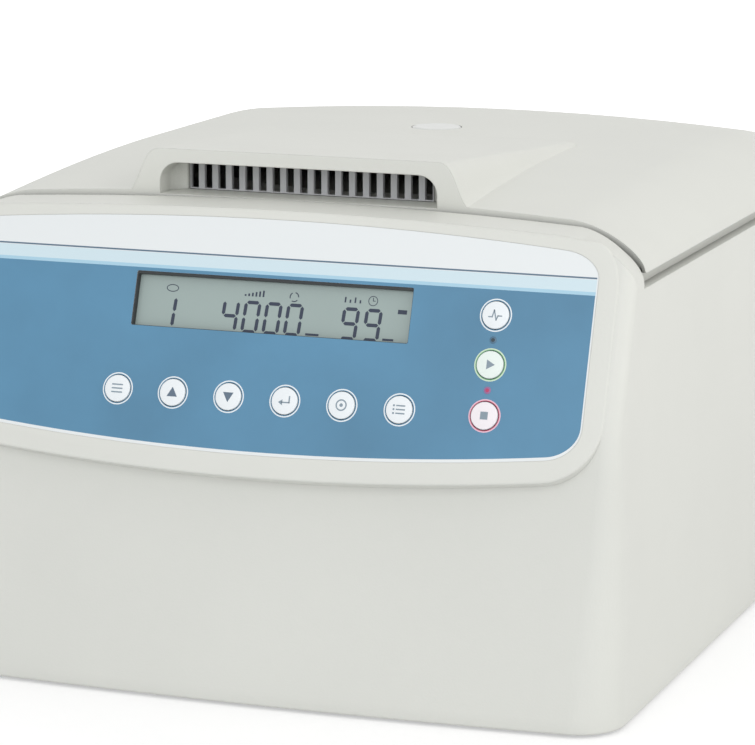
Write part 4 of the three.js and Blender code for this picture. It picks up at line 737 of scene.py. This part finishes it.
def behind_curve(narrow, side_back, middle_back, low, high, steps):
    """The space behind a curve in plan like the dashboard's back, moved back at its ends and middle."""
    wide, side = WIDTH / 2 + CUT_OVERRUN, FRONT_Y + DASHBOARD_SIDE + side_back
    line = shoulder_line(WIDTH / 2 - narrow, side, SHOULDER, FRONT_Y + DASHBOARD_BACK + middle_back,
                         DASHBOARD_CROWN, FLATTER, steps)
    return along_z([(wide, BEHIND), (wide, side), *line, (-wide, side), (-wide, BEHIND)], low, high)


def behind_dashboard(inset, steps=FINE_STEPS):
    return behind_curve(inset, -inset, -inset, SHELF - inset, OVER_ARCH, steps)


def behind_seam(inset, steps=FINE_STEPS):
    """The space for the lid, whose front face follows the dashboard's back."""
    return behind_curve(LID_SIDE_GAP + inset, SEAM_SIDE + inset, SEAM_MIDDLE + inset, UNDER_LID, OVER_LID,
                        steps)


def cabinet_volume(inset=0.0, fine=True):
    """The cabinet's outside or, with an inset, the space within its walls."""
    steps = steps_for(fine)
    body = tool(cabinet_blank(inset, fine))
    carve(body, tool(under_arch(inset, steps)), "INTERSECT")
    carve(body, tool(behind_dashboard(inset, steps)))
    half = WIDTH / 2 - SHELF_WIDTH - inset
    step = rectangle(-half, FRONT_Y + DASHBOARD_SIDE + inset, half, DECK_BACK - inset)
    return carve(body, tool(along_z(step, SHELF - WALL - STEP_OVERLAP, DECK - inset)), "UNION")


def bezel():
    """The panel's raised frame, before its openings."""
    steps = 5
    rings = [[PANEL @ Vector((x, s, -BEZEL_ROOT)) for x, s in panel_outline(**BEZEL)]]
    for i in range(steps + 1):
        angle = math.pi / 2 * i / steps
        ring = panel_outline(**BEZEL, grow=-BEZEL_EDGE * (1 - math.cos(angle)))
        rings.append([PANEL @ Vector((x, s, -BEZEL_EDGE * (1 - math.sin(angle)))) for x, s in ring])
    return carve(tool(loft(rings)), tool(behind_dashboard(0)))


def cabinet_shell():
    shell = cabinet_volume()
    carve(shell, bezel(), "UNION")
    carve(shell, cabinet_volume(WALL, False))
    through_deck = (DECK - 2 * WALL, DECK + CUT_OVERRUN)
    for shape in [
        along_z(circle(0, AXIS_Y, BOWL_HOLE, BOWL_HOLE_SIDES), *through_deck),
        along_z(rectangle(*CATCH_SLOT), *through_deck),
        along_y(rounded(*REAR_OPENING, REAR_OPENING_CORNER), REAR_Y - 2 * WALL, REAR_Y + CUT_OVERRUN),
        on_panel(panel_outline(**OVERLAY, grow=OVERLAY_GAP), OVERLAY_POCKET, CUT_OVERRUN),
        on_panel(rounded(*WINDOW, WINDOW_CORNER, 3), -PANEL_INSIDE - CUT_OVERRUN, CUT_OVERRUN),
        *[on_panel(circle(x, s, KEY_HOLE), HOLE_DEPTH, CUT_OVERRUN) for x, s in KEYS.values()],
        *[on_panel(circle(x, s, LAMP_HOLE, SMALL_SIDES), HOLE_DEPTH, CUT_OVERRUN)
          for x, s in LAMPS.values()],
    ]:
        carve(shell, tool(shape))
    settle(shell, "cabinet_shell_fine", CABINET)
    stand_for(shell, "cabinet", "cabinet_shell", slot="cabinet")


cabinet_shell()


# Panel


def clip(outline, limit, keep_below=True):
    """The part of an outline on one side of a level."""
    made = []
    for i, (x, s) in enumerate(outline):
        nx, ns = outline[(i + 1) % len(outline)]
        inside, next_inside = (s <= limit) == keep_below, (ns <= limit) == keep_below
        if inside:
            made.append((x, s))
        if inside != next_inside:
            share = (limit - s) / (ns - s)
            made.append((mix(x, nx, share), limit))
    return made


def film_piece(name, outline, levels, material, holes=(), nodes=()):
    piece = build(name, *on_panel(outline, *levels, holes=holes), material)
    stand_for(piece, "cabinet", *nodes, slot="overlay")


def film_band(low, high):
    """A stretch of the film, a little inside its edge."""
    return clip(clip(panel_outline(**OVERLAY, grow=-BAND_MARGIN), high), low, False)


def panel_film():
    """The overlay, with the blue field, the pale bands and the thin stripe printed on it."""
    holes = [rounded(*WINDOW, WINDOW_CORNER, 3), *[circle(x, s, KEY_HOLE) for x, s in KEYS.values()],
             *[circle(x, s, LAMP_FILM_HOLE, SMALL_SIDES) for x, s in LAMPS.values()]]
    film_piece("panel_film", panel_outline(**OVERLAY, grow=FILM_GROW), FILM_LEVELS, FILM_WHITE, holes,
               ["panel_overlay"])
    wider = {**OVERLAY, "half": OVERLAY["half"] + FIELD_WIDER}
    field = clip(panel_outline(**wider, grow=-FIELD_MARGIN), FIELD_TOP)
    film_piece("panel_blue", field, FIELD_LEVELS, FILM_BLUE, holes)
    film_piece("panel_pale", film_band(FIELD_TOP, PALE_TOP), FIELD_LEVELS, FILM_PALE)
    film_piece("panel_middle", film_band(FIELD_TOP, MIDDLE_TOP), LINE_LEVELS, FILM_MIDDLE)
    film_piece("panel_stripe", film_band(STRIPE_LOW, STRIPE_TOP), LINE_LEVELS, FILM_STRIPE)


def key_rings():
    """The printed rings around the keys. Start and stop have a second, coloured one."""
    colours = {"start": (RING_PALE_GREEN, RING_GREEN), "stop": (RING_PALE_RED, RING_RED)}
    for name, (x, s) in KEYS.items():
        outer, inner = colours.get(name, (KEY_WHITE, None))
        middle = circle(x, s, RING_MIDDLE)
        film_piece(f"ring_{name}", circle(x, s, RING_OUTSIDE), RING_LEVELS, outer, [middle])
        if inner:
            film_piece(f"ring_inner_{name}", middle, RING_LEVELS, inner, [circle(x, s, RING_INSIDE)])


panel_film()
key_rings()


def stroke(points, width):
    """A line through points with a width, as outlines of its straight stretches."""
    made = []
    for (x0, s0), (x1, s1) in zip(points, points[1:]):
        along = Vector((x1 - x0, s1 - s0)).normalized() * width / 2
        across = Vector((-along.y, along.x))
        made.append([(x0 - along.x + across.x, s0 - along.y + across.y),
                     (x0 - along.x - across.x, s0 - along.y - across.y),
                     (x1 + along.x - across.x, s1 + along.y - across.y),
                     (x1 + along.x + across.x, s1 + along.y + across.y)])
    return made


def marks(name, shapes, x, s, levels, material, body, slot):
    """Flat marks in one piece. Each is an outline, or an outline and its hole."""
    bodies = []
    for shape in shapes:
        outline, holes = (shape[0], [shape[1]]) if isinstance(shape, tuple) else (shape, [])
        moved = [(x + u, s + v) for u, v in outline]
        holes = [[(x + u, s + v) for u, v in hole] for hole in holes]
        bodies.append(on_panel(moved, *levels, holes=holes))
    stand_for(build(name, *join(bodies), material), body, slot=slot)


def key_symbols():
    """Plain marks for the keys, around each key's centre."""
    line, thin = 0.7, 0.6
    rows = (-1.9, 0, 1.9)
    menu = []
    for level in rows:
        menu += [*stroke([(-1.2, level), (2.8, level)], line), circle(-2.7, level, 0.55, 16)]
    return {
        "set": [shape for level in rows for shape in stroke([(-2.6, level), (2.6, level)], line)],
        "up": [[(-2.8, -2.1), (2.8, -2.1), (0, 2.8)]],
        "down": [[(-2.8, 2.1), (0, -2.8), (2.8, 2.1)]],
        "enter": [*stroke([(2.6, 2.2), (2.6, -0.8), (-1.2, -0.8)], line),
                  [(-3.2, -0.8), (-0.9, -2.3), (-0.9, 0.7)]],
        "rcf": [(circle(0, 0, 2.9, 32), circle(0, 0, 2.2, 32)), circle(0, 0, 0.9, 20)],
        "program": menu,
        "pulse": stroke([(-3.2, -1), (-1.5, -1), (-0.7, 2.3), (0.6, -2.4), (1.4, -0.4), (3.2, -0.4)], thin),
        "start": [[(-1.6, -2.4), (2.6, 0), (-1.6, 2.4)]],
        "stop": [rectangle(-1.9, -1.9, 1.9, 1.9)],
    }


def turned(name, profile, sides, x, s, material):
    """A round piece that stands on the panel."""
    points, faces = revolve(profile, sides)
    placed = [PANEL @ Vector((x + u, s + v, n)) for u, v, n in points]
    return build(name, placed, faces, material, SMOOTH_ROUND)


def key_cap(name, x, s, symbol):
    low = BEHIND_PANEL - KEY_FLANGE_SHEET
    profile = [(NEAR_AXIS, low), (KEY_FLANGE, low), (KEY_FLANGE, BEHIND_PANEL), (KEY_RADIUS, BEHIND_PANEL),
               *arc(KEY_RADIUS - KEY_EDGE, KEY_TOP - KEY_EDGE, KEY_EDGE, KEY_EDGE, 0, 90, 4),
               (NEAR_AXIS, KEY_TOP)]
    look, slot = {"start": (KEY_GREEN, "key_green"), "stop": (KEY_RED, "key_red")}.get(
        name, (KEY_WHITE, "key_white"))
    stand_for(turned(f"cap_{name}", profile, KEY_SIDES, x, s, look), name, f"key_{name}", slot=slot)
    ink = PRINT if name in ("up", "down") else PRINT_PALE
    marks(f"mark_{name}", symbol, x, s, MARK_LEVELS, ink, name, slot)


symbols = key_symbols()
for key, (key_x, key_s) in KEYS.items():
    key_cap(key, key_x, key_s, symbols[key])


def lamp(name, slot, material, core):
    x, s = LAMPS[name]
    profile = [(NEAR_AXIS, LAMP_ROOT), (LAMP_FLANGE, LAMP_ROOT), (LAMP_FLANGE, BEHIND_PANEL),
               (LAMP_RADIUS, BEHIND_PANEL), *arc(0, 0, LAMP_RADIUS, LAMP_DOME, 0, 75, 5),
               (NEAR_AXIS, LAMP_DOME)]
    stand_for(turned(f"{name}_fine", profile, LAMP_SIDES, x, s, material), "cabinet", name, slot=slot)
    marks(f"{name}_core", [circle(0, 0, LAMP_CORE, 28)], x, s, LAMP_CORE_LEVELS, core, "cabinet", slot)


lamp("lamp_upper", "lamp_dark", LAMP_DARK, LAMP_DARK_CORE)
lamp("lamp_lower", "lamp_red", LAMP_RED, LAMP_RED_CORE)


# Display


def display_module():
    """The display's face, and the dark frame that stands in the window as painted shadow of its walls,
    widest at the top and left.
    """
    left, low, right, high = WINDOW
    face = rectangle(left - MODULE_EDGE, low - MODULE_EDGE, right + MODULE_EDGE, high + MODULE_TOP_EDGE)
    module = build("display_face", *on_panel(face, BEHIND_PANEL - MODULE_DEPTH, BEHIND_PANEL), DISPLAY)
    stand_for(module, "cabinet", "lcd_module", slot="display")
    outside = rounded(left + FRAME_GAP, low + FRAME_GAP, right - FRAME_GAP, high - FRAME_GAP,
                      WINDOW_CORNER, 3)
    inside = rounded(left + FRAME_LEFT, low + FRAME_THIN, right - FRAME_THIN, high - FRAME_TOP,
                     FRAME_INSIDE_CORNER, 3)
    liner = build("display_frame_shadow", *on_panel(outside, *FRAME_LEVELS, holes=[inside]), WINDOW_SHADOW_DARK)
    stand_for(liner, "cabinet", slot="display")


def digit(text, x):
    """The lit bars of one seven-segment digit, with its lower left at x."""
    lit = {"0": "abcdef", "1": "bc", "4": "bcfg", "9": "abcdfg"}
    wide, tall, half = DIGIT_WIDTH, DIGIT_HEIGHT, DIGIT_HEIGHT / 2
    ends = {
        "a": ((0, tall), (wide, tall)), "b": ((wide, tall), (wide, half)), "c": ((wide, half), (wide, 0)),
        "d": ((0, 0), (wide, 0)), "e": ((0, half), (0, 0)), "f": ((0, tall), (0, half)),
        "g": ((0, half), (wide, half)),
    }
    shapes = []
    for part in lit[text]:
        (u0, v0), (u1, v1) = ends[part]
        a, b = Vector((u0 + v0 * DIGIT_SLANT, v0)), Vector((u1 + v1 * DIGIT_SLANT, v1))
        along = (b - a).normalized()
        across = Vector((-along.y, along.x)) * DIGIT_BAR / 2
        a, b = a + along * DIGIT_GAP, b - along * DIGIT_GAP
        tip = along * DIGIT_BAR / 2
        shapes.append([(x + p.x, DIGIT_LOW + p.y) for p in
                       (a, a + tip + across, b - tip + across, b, b - tip - across, a + tip - across)])
    return shapes


def display_marks():
    """Plain numbers with small plain marks above and beside them."""
    shapes = []
    for text, start, pitch in (("1", -54, 0), ("4000", -20.4, 11.3), ("99", 42.9, 11.8)):
        for i, character in enumerate(text):
            shapes += digit(character, start + pitch * i)
    oval = tuple(arc(-48.6, 89.2, *radii, 0, 360, 28)[:-1] for radii in ((3.3, 1.9), (2.9, 1.5)))
    turn_x, turn_s = 16.5, 88.6
    turn = [arc(turn_x, turn_s, 2.5, 2.5, a, a + 80, 6) + arc(turn_x, turn_s, 2.0, 2.0, a + 80, a, 6)
            for a in (0, 120, 240)]
    clock_x, clock_s = 57.8, 89.2
    clock = tuple(circle(clock_x, clock_s, radius, 32) for radius in (2.5, 2.15))
    hands = stroke([(clock_x, clock_s + 1.5), (clock_x, clock_s), (clock_x + 1.1, clock_s)], 0.35)
    cursor = rectangle(71.2, 83.6, 75.9, 85.7)
    unit_low, unit_high = 70.0, 71.1
    units = [rectangle(24.5, unit_low, 31.5, unit_high), rectangle(64.8, unit_low, 70.5, unit_high)]
    tick_low = 87.6
    rising = [rectangle(-9.8 + 1.9 * i, tick_low, -8.9 + 1.9 * i, 88.5 + 0.45 * i) for i in range(6)]
    ticks = [rectangle(43 + 2.6 * i, tick_low, 43.8 + 2.6 * i, 90.4 - 1.2 * (i % 2)) for i in range(4)]
    shapes += [oval, *turn, clock, *hands, cursor, *units, *rising, *ticks]
    marks("display_marks", shapes, 0, 0, SEGMENT_LEVELS, SEGMENT, "cabinet", "display")


display_module()
display_marks()


# Lid


def lid_height(y):
    """The lid's top along its middle: it rises from the front and falls off at the rear."""
    rise = clamp((y - LID_FRONT) / LID_RISE_LENGTH)
    fall = clamp((y - LID_BACK + LID_FALL_LENGTH) / LID_FALL_LENGTH)
    return mix(LID_FRONT_TOP, LID_TOP, rise * (2 - rise)) - LID_REAR_DROP * fall * fall


def lid_crown(y):
    return mix(LID_CROWN_FRONT, LID_CROWN_BACK, clamp((y - LID_FRONT) / (LID_BACK - LID_FRONT)))


def lid_section(y, inset, turn):
    """The lid's section across, which is sunk and narrowed over its rear edge and corners."""
    edge = max(0, LID_REAR_EDGE - (LID_BACK - y) + inset)
    sunk = LID_REAR_EDGE - math.sqrt(max(LID_REAR_EDGE ** 2 - edge ** 2, 0)) if edge > 0 else 0
    corner = clamp((y - LID_BACK + inset + LID_REAR_CORNER) / LID_REAR_CORNER)
    narrower = LID_REAR_CORNER * (1 - math.sqrt(1 - (corner * LID_REAR_SHARE) ** 2)) / 2
    half = WIDTH / 2 - LID_SIDE_GAP - inset - sunk - narrower
    line = shoulder_line(half, LID_LOWER, LID_SHOULDER, lid_height(y) - inset - sunk, lid_crown(y), FLATTER,
                         turn)
    if inset:
        low = LID_LOWER - LID_INSIDE_BELOW
        line = [(half, low), *line, (-half, low)]
    return [(x, y, z) for x, z in line]


def lid_volume(inset=0.0, fine=True):
    start, end = FRONT_Y + DASHBOARD_SIDE, LID_BACK - inset
    count, turn = 48 if fine else 10, steps_for(fine)
    rear_steps = [10, 8, 6, 4, 3, 2, 1.1, 0.5, 0.15, 0] if fine else [6, 2, 0]
    places = [mix(start, end - LID_REAR_CORNER, i / count) for i in range(count + 1)]
    places += [end - step for step in rear_steps]
    return tool(loft([lid_section(y, inset, turn) for y in places]))


def hood_volume(inset=0.0, fine=True):
    """A wedge with soft flanks, which gets lower and wider to the rear."""
    count, steps = 24 if fine else 5, steps_for(fine)
    rings = []
    for i in range(count + 1):
        share = i / count
        y = mix(HOOD_FRONT, HOOD_BACK, share)
        foot = mix(*HOOD_FEET, share) - inset
        shoulder = mix(*HOOD_SHOULDERS, share) - inset
        skirt = lid_height(y) - lid_crown(y) * (foot / LID_SHOULDER) ** 2 - HOOD_SKIRT - inset
        top = max(mix(*HOOD_TOPS, share) - inset, skirt + HOOD_LEAST)
        waist = mix(foot, shoulder, HOOD_WAIST)
        flank = curve(Vector((foot, skirt)), Vector((waist, skirt)), Vector((waist, top)),
                      Vector((shoulder, top)), steps)
        right = [(foot, HOOD_LOW - inset), *flank]
        left = [(-x, z) for x, z in reversed(right)]
        rings.append([(x, y, z) for x, z in [*right, *left]])
    return tool(loft(rings))


def intake_outline(grow=0.0):
    half, high, low, radius = INTAKE_HALF + grow, INTAKE_TOP + grow, INTAKE_LOW - grow, INTAKE_CORNER + grow
    return [(-half, low), (half, low), *arc(half - radius, high - radius, radius, radius, 0, 90, 12),
            *arc(radius - half, high - radius, radius, radius, 90, 180, 12)]


def lid_body(inset=0.0, fine=True):
    body = lid_volume(inset, fine)
    carve(body, hood_volume(inset, fine), "UNION")
    return carve(body, tool(behind_seam(inset, steps_for(fine))), "INTERSECT")


def intake_duct():
    """The duct's block behind the opening, kept a little behind the lid's front face."""
    duct = tool(along_y(intake_outline(DUCT_WALL), FRONT_Y + DASHBOARD_SIDE, DUCT_BACK))
    return carve(duct, tool(behind_seam(DUCT_SETBACK)), "INTERSECT")


def lid_bosses():
    """Four bosses over the liner, which reach halfway into the lid's wall."""
    bosses = tool(*[along_z(circle(x, y, BOSS_RADIUS, SMALL_SIDES), BOSS_LOW, LID_TOP)
                    for x in (-BOSS_X, BOSS_X) for y in BOSS_ROWS])
    return carve(bosses, lid_volume(LID_WALL / 2, False), "INTERSECT")


def nose_cut():
    """The space outside the fillet at the lid's lower front edge."""
    back, top = NOSE + NOSE_ROUND, LID_LOWER + NOSE_ROUND
    fillet = bend((back, LID_LOWER), (NOSE, LID_LOWER), (NOSE + NOSE_LEAN, top))
    outline = [(NOSE_CUT_FRONT, NOSE_CUT_LOW), (back, NOSE_CUT_LOW), *fillet, (NOSE_CUT_FRONT, top)]
    return along_x(outline, -BESIDE, BESIDE)


def cheeks():
    """The curved side walls that narrow the duct to its grille."""
    walls = []
    for side in (-1, 1):
        outside, inside = side * CHEEK_OUTSIDE, side * CHEEK_INSIDE
        wall = bend((outside, CHEEK_FRONT), (outside, CHEEK_BACK), (inside, CHEEK_BACK))
        walls.append(along_z([*wall, (outside, CHEEK_BACK)], *CHEEK_LEVELS))
    return tool(*walls)


def lid_shell():
    shell = lid_body()
    carve(shell, lid_body(LID_WALL, False))
    carve(shell, intake_duct(), "UNION")
    carve(shell, lid_bosses(), "UNION")
    behind_grille = GRILLE_BACK + DUCT_REAR_CLEARANCE
    for shape in [
        along_y(intake_outline(), *DUCT_CUT),
        along_y(intake_outline(DUCT_WALL + DUCT_REAR_CLEARANCE), behind_grille, DUCT_CUT[1]),
        along_x(rectangle(*LID_REAR_RELIEF), -BESIDE, BESIDE),
        nose_cut(),
        along_z(circle(0, AXIS_Y, PORT_BORE), LID_LOWER, OVER_LID),
        along_z(circle(0, AXIS_Y, PORT_SEAT), PORT_SEAT_LOW, OVER_LID),
    ]:
        carve(shell, tool(shape))
    carve(shell, cheeks(), "UNION")
    settle(shell, "lid_shell_fine", LID)
    stand_for(shell, "lid", "lid_shell", slot="lid")


def lid_grille():
    pitch = 2 * GRILLE_HALF / GRILLE_SLOTS
    places = [pitch * (i - (GRILLE_SLOTS - 1) / 2) for i in range(GRILLE_SLOTS)]
    slots = [rounded(x - SLOT_HALF, SLOT_LOW, x + SLOT_HALF, SLOT_TOP, SLOT_CORNER, 3) for x in places]
    plate = along_y(intake_outline(-GRILLE_GAP), GRILLE_FRONT, GRILLE_BACK, holes=slots)
    stand_for(build("grille_fine", *plate, GRILLE), "lid", "lid_grille", slot="lid")


lid_shell()
lid_grille()


# Chamber


def chamber_bowl():
    """The drawn bowl, with more sides than the solid that it stands for."""
    outer = BOWL_RADIUS + BOWL_SHEET
    flange = outer + BOWL_FLANGE
    top = BOWL_RIM + BOWL_SHEET
    neck_inside = BOWL_NECK + BOWL_SHEET
    neck_top = BOWL_FLOOR + BOWL_NECK_HEIGHT
    bend_r, bend_z = BOWL_RADIUS - BOWL_CORNER, BOWL_FLOOR + BOWL_CORNER
    wide_bend = BOWL_CORNER + BOWL_SHEET
    profile = [
        (BOWL_NECK, BOWL_FLOOR - BOWL_SHEET),
        *arc(bend_r, bend_z, wide_bend, wide_bend, -90, 0, BEND_STEPS),
        (outer, BOWL_RIM), (flange, BOWL_RIM), (flange, top), (BOWL_RADIUS, top),
        *arc(bend_r, bend_z, BOWL_CORNER, BOWL_CORNER, 0, -90, BEND_STEPS),
        (neck_inside, BOWL_FLOOR), (neck_inside, neck_top), (BOWL_NECK, neck_top),
    ]
    bowl = build("bowl_fine", *revolve(profile, BOWL_SIDES, AXIS_Y, closed=True), BOWL_STEEL)
    stand_for(bowl, "cabinet", "chamber_bowl", slot="steel")


def chamber_seal():
    """The bowl's seal, with a rounded lip."""
    left, right, crown = SEAL_INSIDE, SEAL_INSIDE + SEAL_WIDTH, SEAL_TOP - SEAL_CROWN_DROP
    profile = [(left, SEAL_LOW), (right, SEAL_LOW), (right, SEAL_SIDE), (right - SEAL_CROWN_INSET, crown),
               ((left + right) / 2, SEAL_TOP), (left + SEAL_CROWN_INSET, crown), (left, SEAL_SIDE)]
    seal = build("seal_fine", *revolve(profile, BOWL_SIDES, AXIS_Y, closed=True), RUBBER)
    stand_for(seal, "cabinet", "chamber_gasket", slot="rubber")


chamber_bowl()
chamber_seal()


# Finishes of the CAD pieces that aren't replaced


for material, names in (
    (PORT, ["viewing_port"]),
    (LID, ["lid_liner"]),
    (STEEL, ["lid_catch", "lock_bolt", "hinge_pin_left", "hinge_pin_right", "lid_spring_left",
             "lid_spring_right", "rotor_spindle"]),
    (ZINC, ["base_plate", "rear_panel", "motor_plate", "hinge_bracket_left", "hinge_bracket_right"]),
    (MOTOR, ["motor_housing"]),
    (RUBBER, ["shaft_boot", "foot_front_left", "foot_front_right", "foot_rear_left", "foot_rear_right",
              "damper_1", "damper_2", "damper_3"]),
    (BOARD, ["drive_board", "control_board"]),
    (DARK, ["lock_housing", "power_inlet", "power_rocker", "rotor_nut"]),
    (ALUMINIUM, ["rotor_body"]),
    (HOLDER, [f"card_holder_{i:02d}" for i in range(1, 13)]),
):
    for name in names:
        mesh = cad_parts[name].data
        mesh.materials.clear()
        mesh.materials.append(material)


# Studio


def direct_rays(nodes, links):
    """One for camera, glossy and transmission rays, which all see the white background."""
    path = nodes.new("ShaderNodeLightPath")
    total = path.outputs["Is Camera Ray"]
    for ray in ("Is Glossy Ray", "Is Transmission Ray"):
        total = combine(nodes, links, "MAXIMUM", total, path.outputs[ray])
    return total


def blend_by_rays(nodes, links, plain, seen, end):
    """Sends one shader to the rays that light the object and another to the direct rays."""
    both = nodes.new("ShaderNodeMixShader")
    links.new(direct_rays(nodes, links), both.inputs["Fac"])
    links.new(plain, both.inputs[1])
    links.new(seen, both.inputs[2])
    links.new(both.outputs["Shader"], end.inputs["Surface"])


def white_world():
    world = bpy.data.worlds.new("studio")
    bpy.context.scene.world = world
    world.use_nodes = True
    nodes, links = world.node_tree.nodes, world.node_tree.links
    plain, seen = nodes["Background"], nodes.new("ShaderNodeBackground")
    for node, strength in ((plain, WORLD_LEVEL), (seen, 1.0)):
        node.inputs["Color"].default_value = WHITE
        node.inputs["Strength"].default_value = strength
    blend_by_rays(nodes, links, plain.outputs["Background"], seen.outputs["Background"],
                  nodes["World Output"])


def floor_finish():
    """A pale floor. Direct rays see it white wherever the object's shadow doesn't fall."""
    made = finish("floor", FLOOR_COLOUR, FLOOR_ROUGHNESS)
    nodes, links = made.node_tree.nodes, made.node_tree.links
    away = nodes.new("ShaderNodeVectorMath")
    away.operation = "LENGTH"
    links.new(nodes.new("ShaderNodeNewGeometry").outputs["Position"], away.inputs[0])
    glow = nodes.new("ShaderNodeEmission")
    glow.inputs["Color"].default_value = WHITE
    links.new(rescale(nodes, links, away.outputs["Value"], GLOW_DISTANCES, GLOW_LEVELS),
              glow.inputs["Strength"])
    plain = nodes.new("ShaderNodeBsdfDiffuse")
    plain.inputs["Color"].default_value = FLOOR_SEEN
    seen = nodes.new("ShaderNodeAddShader")
    links.new(plain.outputs["BSDF"], seen.inputs[0])
    links.new(glow.outputs["Emission"], seen.inputs[1])
    blend_by_rays(nodes, links, nodes["Principled BSDF"].outputs["BSDF"], seen.outputs["Shader"],
                  nodes["Material Output"])
    return made


def area_light(name, place, size, power, colour):
    data = bpy.data.lights.new(name, "AREA")
    data.shape = "RECTANGLE"
    data.size, data.size_y = size
    data.energy = power
    data.color = colour
    light = bpy.data.objects.new(name, data)
    bpy.context.scene.collection.objects.link(light)
    light.location = place
    light.rotation_euler = (Vector(LIGHT_AIM) - Vector(place)).to_track_quat("-Z", "Y").to_euler()


def place_camera():
    level = math.cos(CAMERA_ELEVATION)
    forward = Vector((-math.sin(CAMERA_AZIMUTH) * level, math.cos(CAMERA_AZIMUTH) * level,
                      -math.sin(CAMERA_ELEVATION)))
    lens = bpy.data.cameras.new("camera")
    lens.sensor_width = CAMERA_SENSOR
    lens.lens = CAMERA_LENS
    lens.clip_start = CAMERA_NEAR
    lens.clip_end = CAMERA_FAR
    camera = bpy.data.objects.new("camera", lens)
    bpy.context.scene.collection.objects.link(camera)
    camera.location = CAMERA_PLACE
    camera.rotation_euler = forward.to_track_quat("-Z", "Y").to_euler()
    bpy.context.scene.camera = camera


white_world()
floor_corners = [(x, y, 0) for x, y in rectangle(-FLOOR_HALF, -FLOOR_HALF, FLOOR_HALF, FLOOR_HALF)]
floor = build("floor", floor_corners, [(0, 1, 2, 3)], floor_finish())
for light_name, settings in LIGHTS.items():
    area_light(light_name, **settings)
place_camera()
bpy.context.scene.view_settings.view_transform = "Standard"
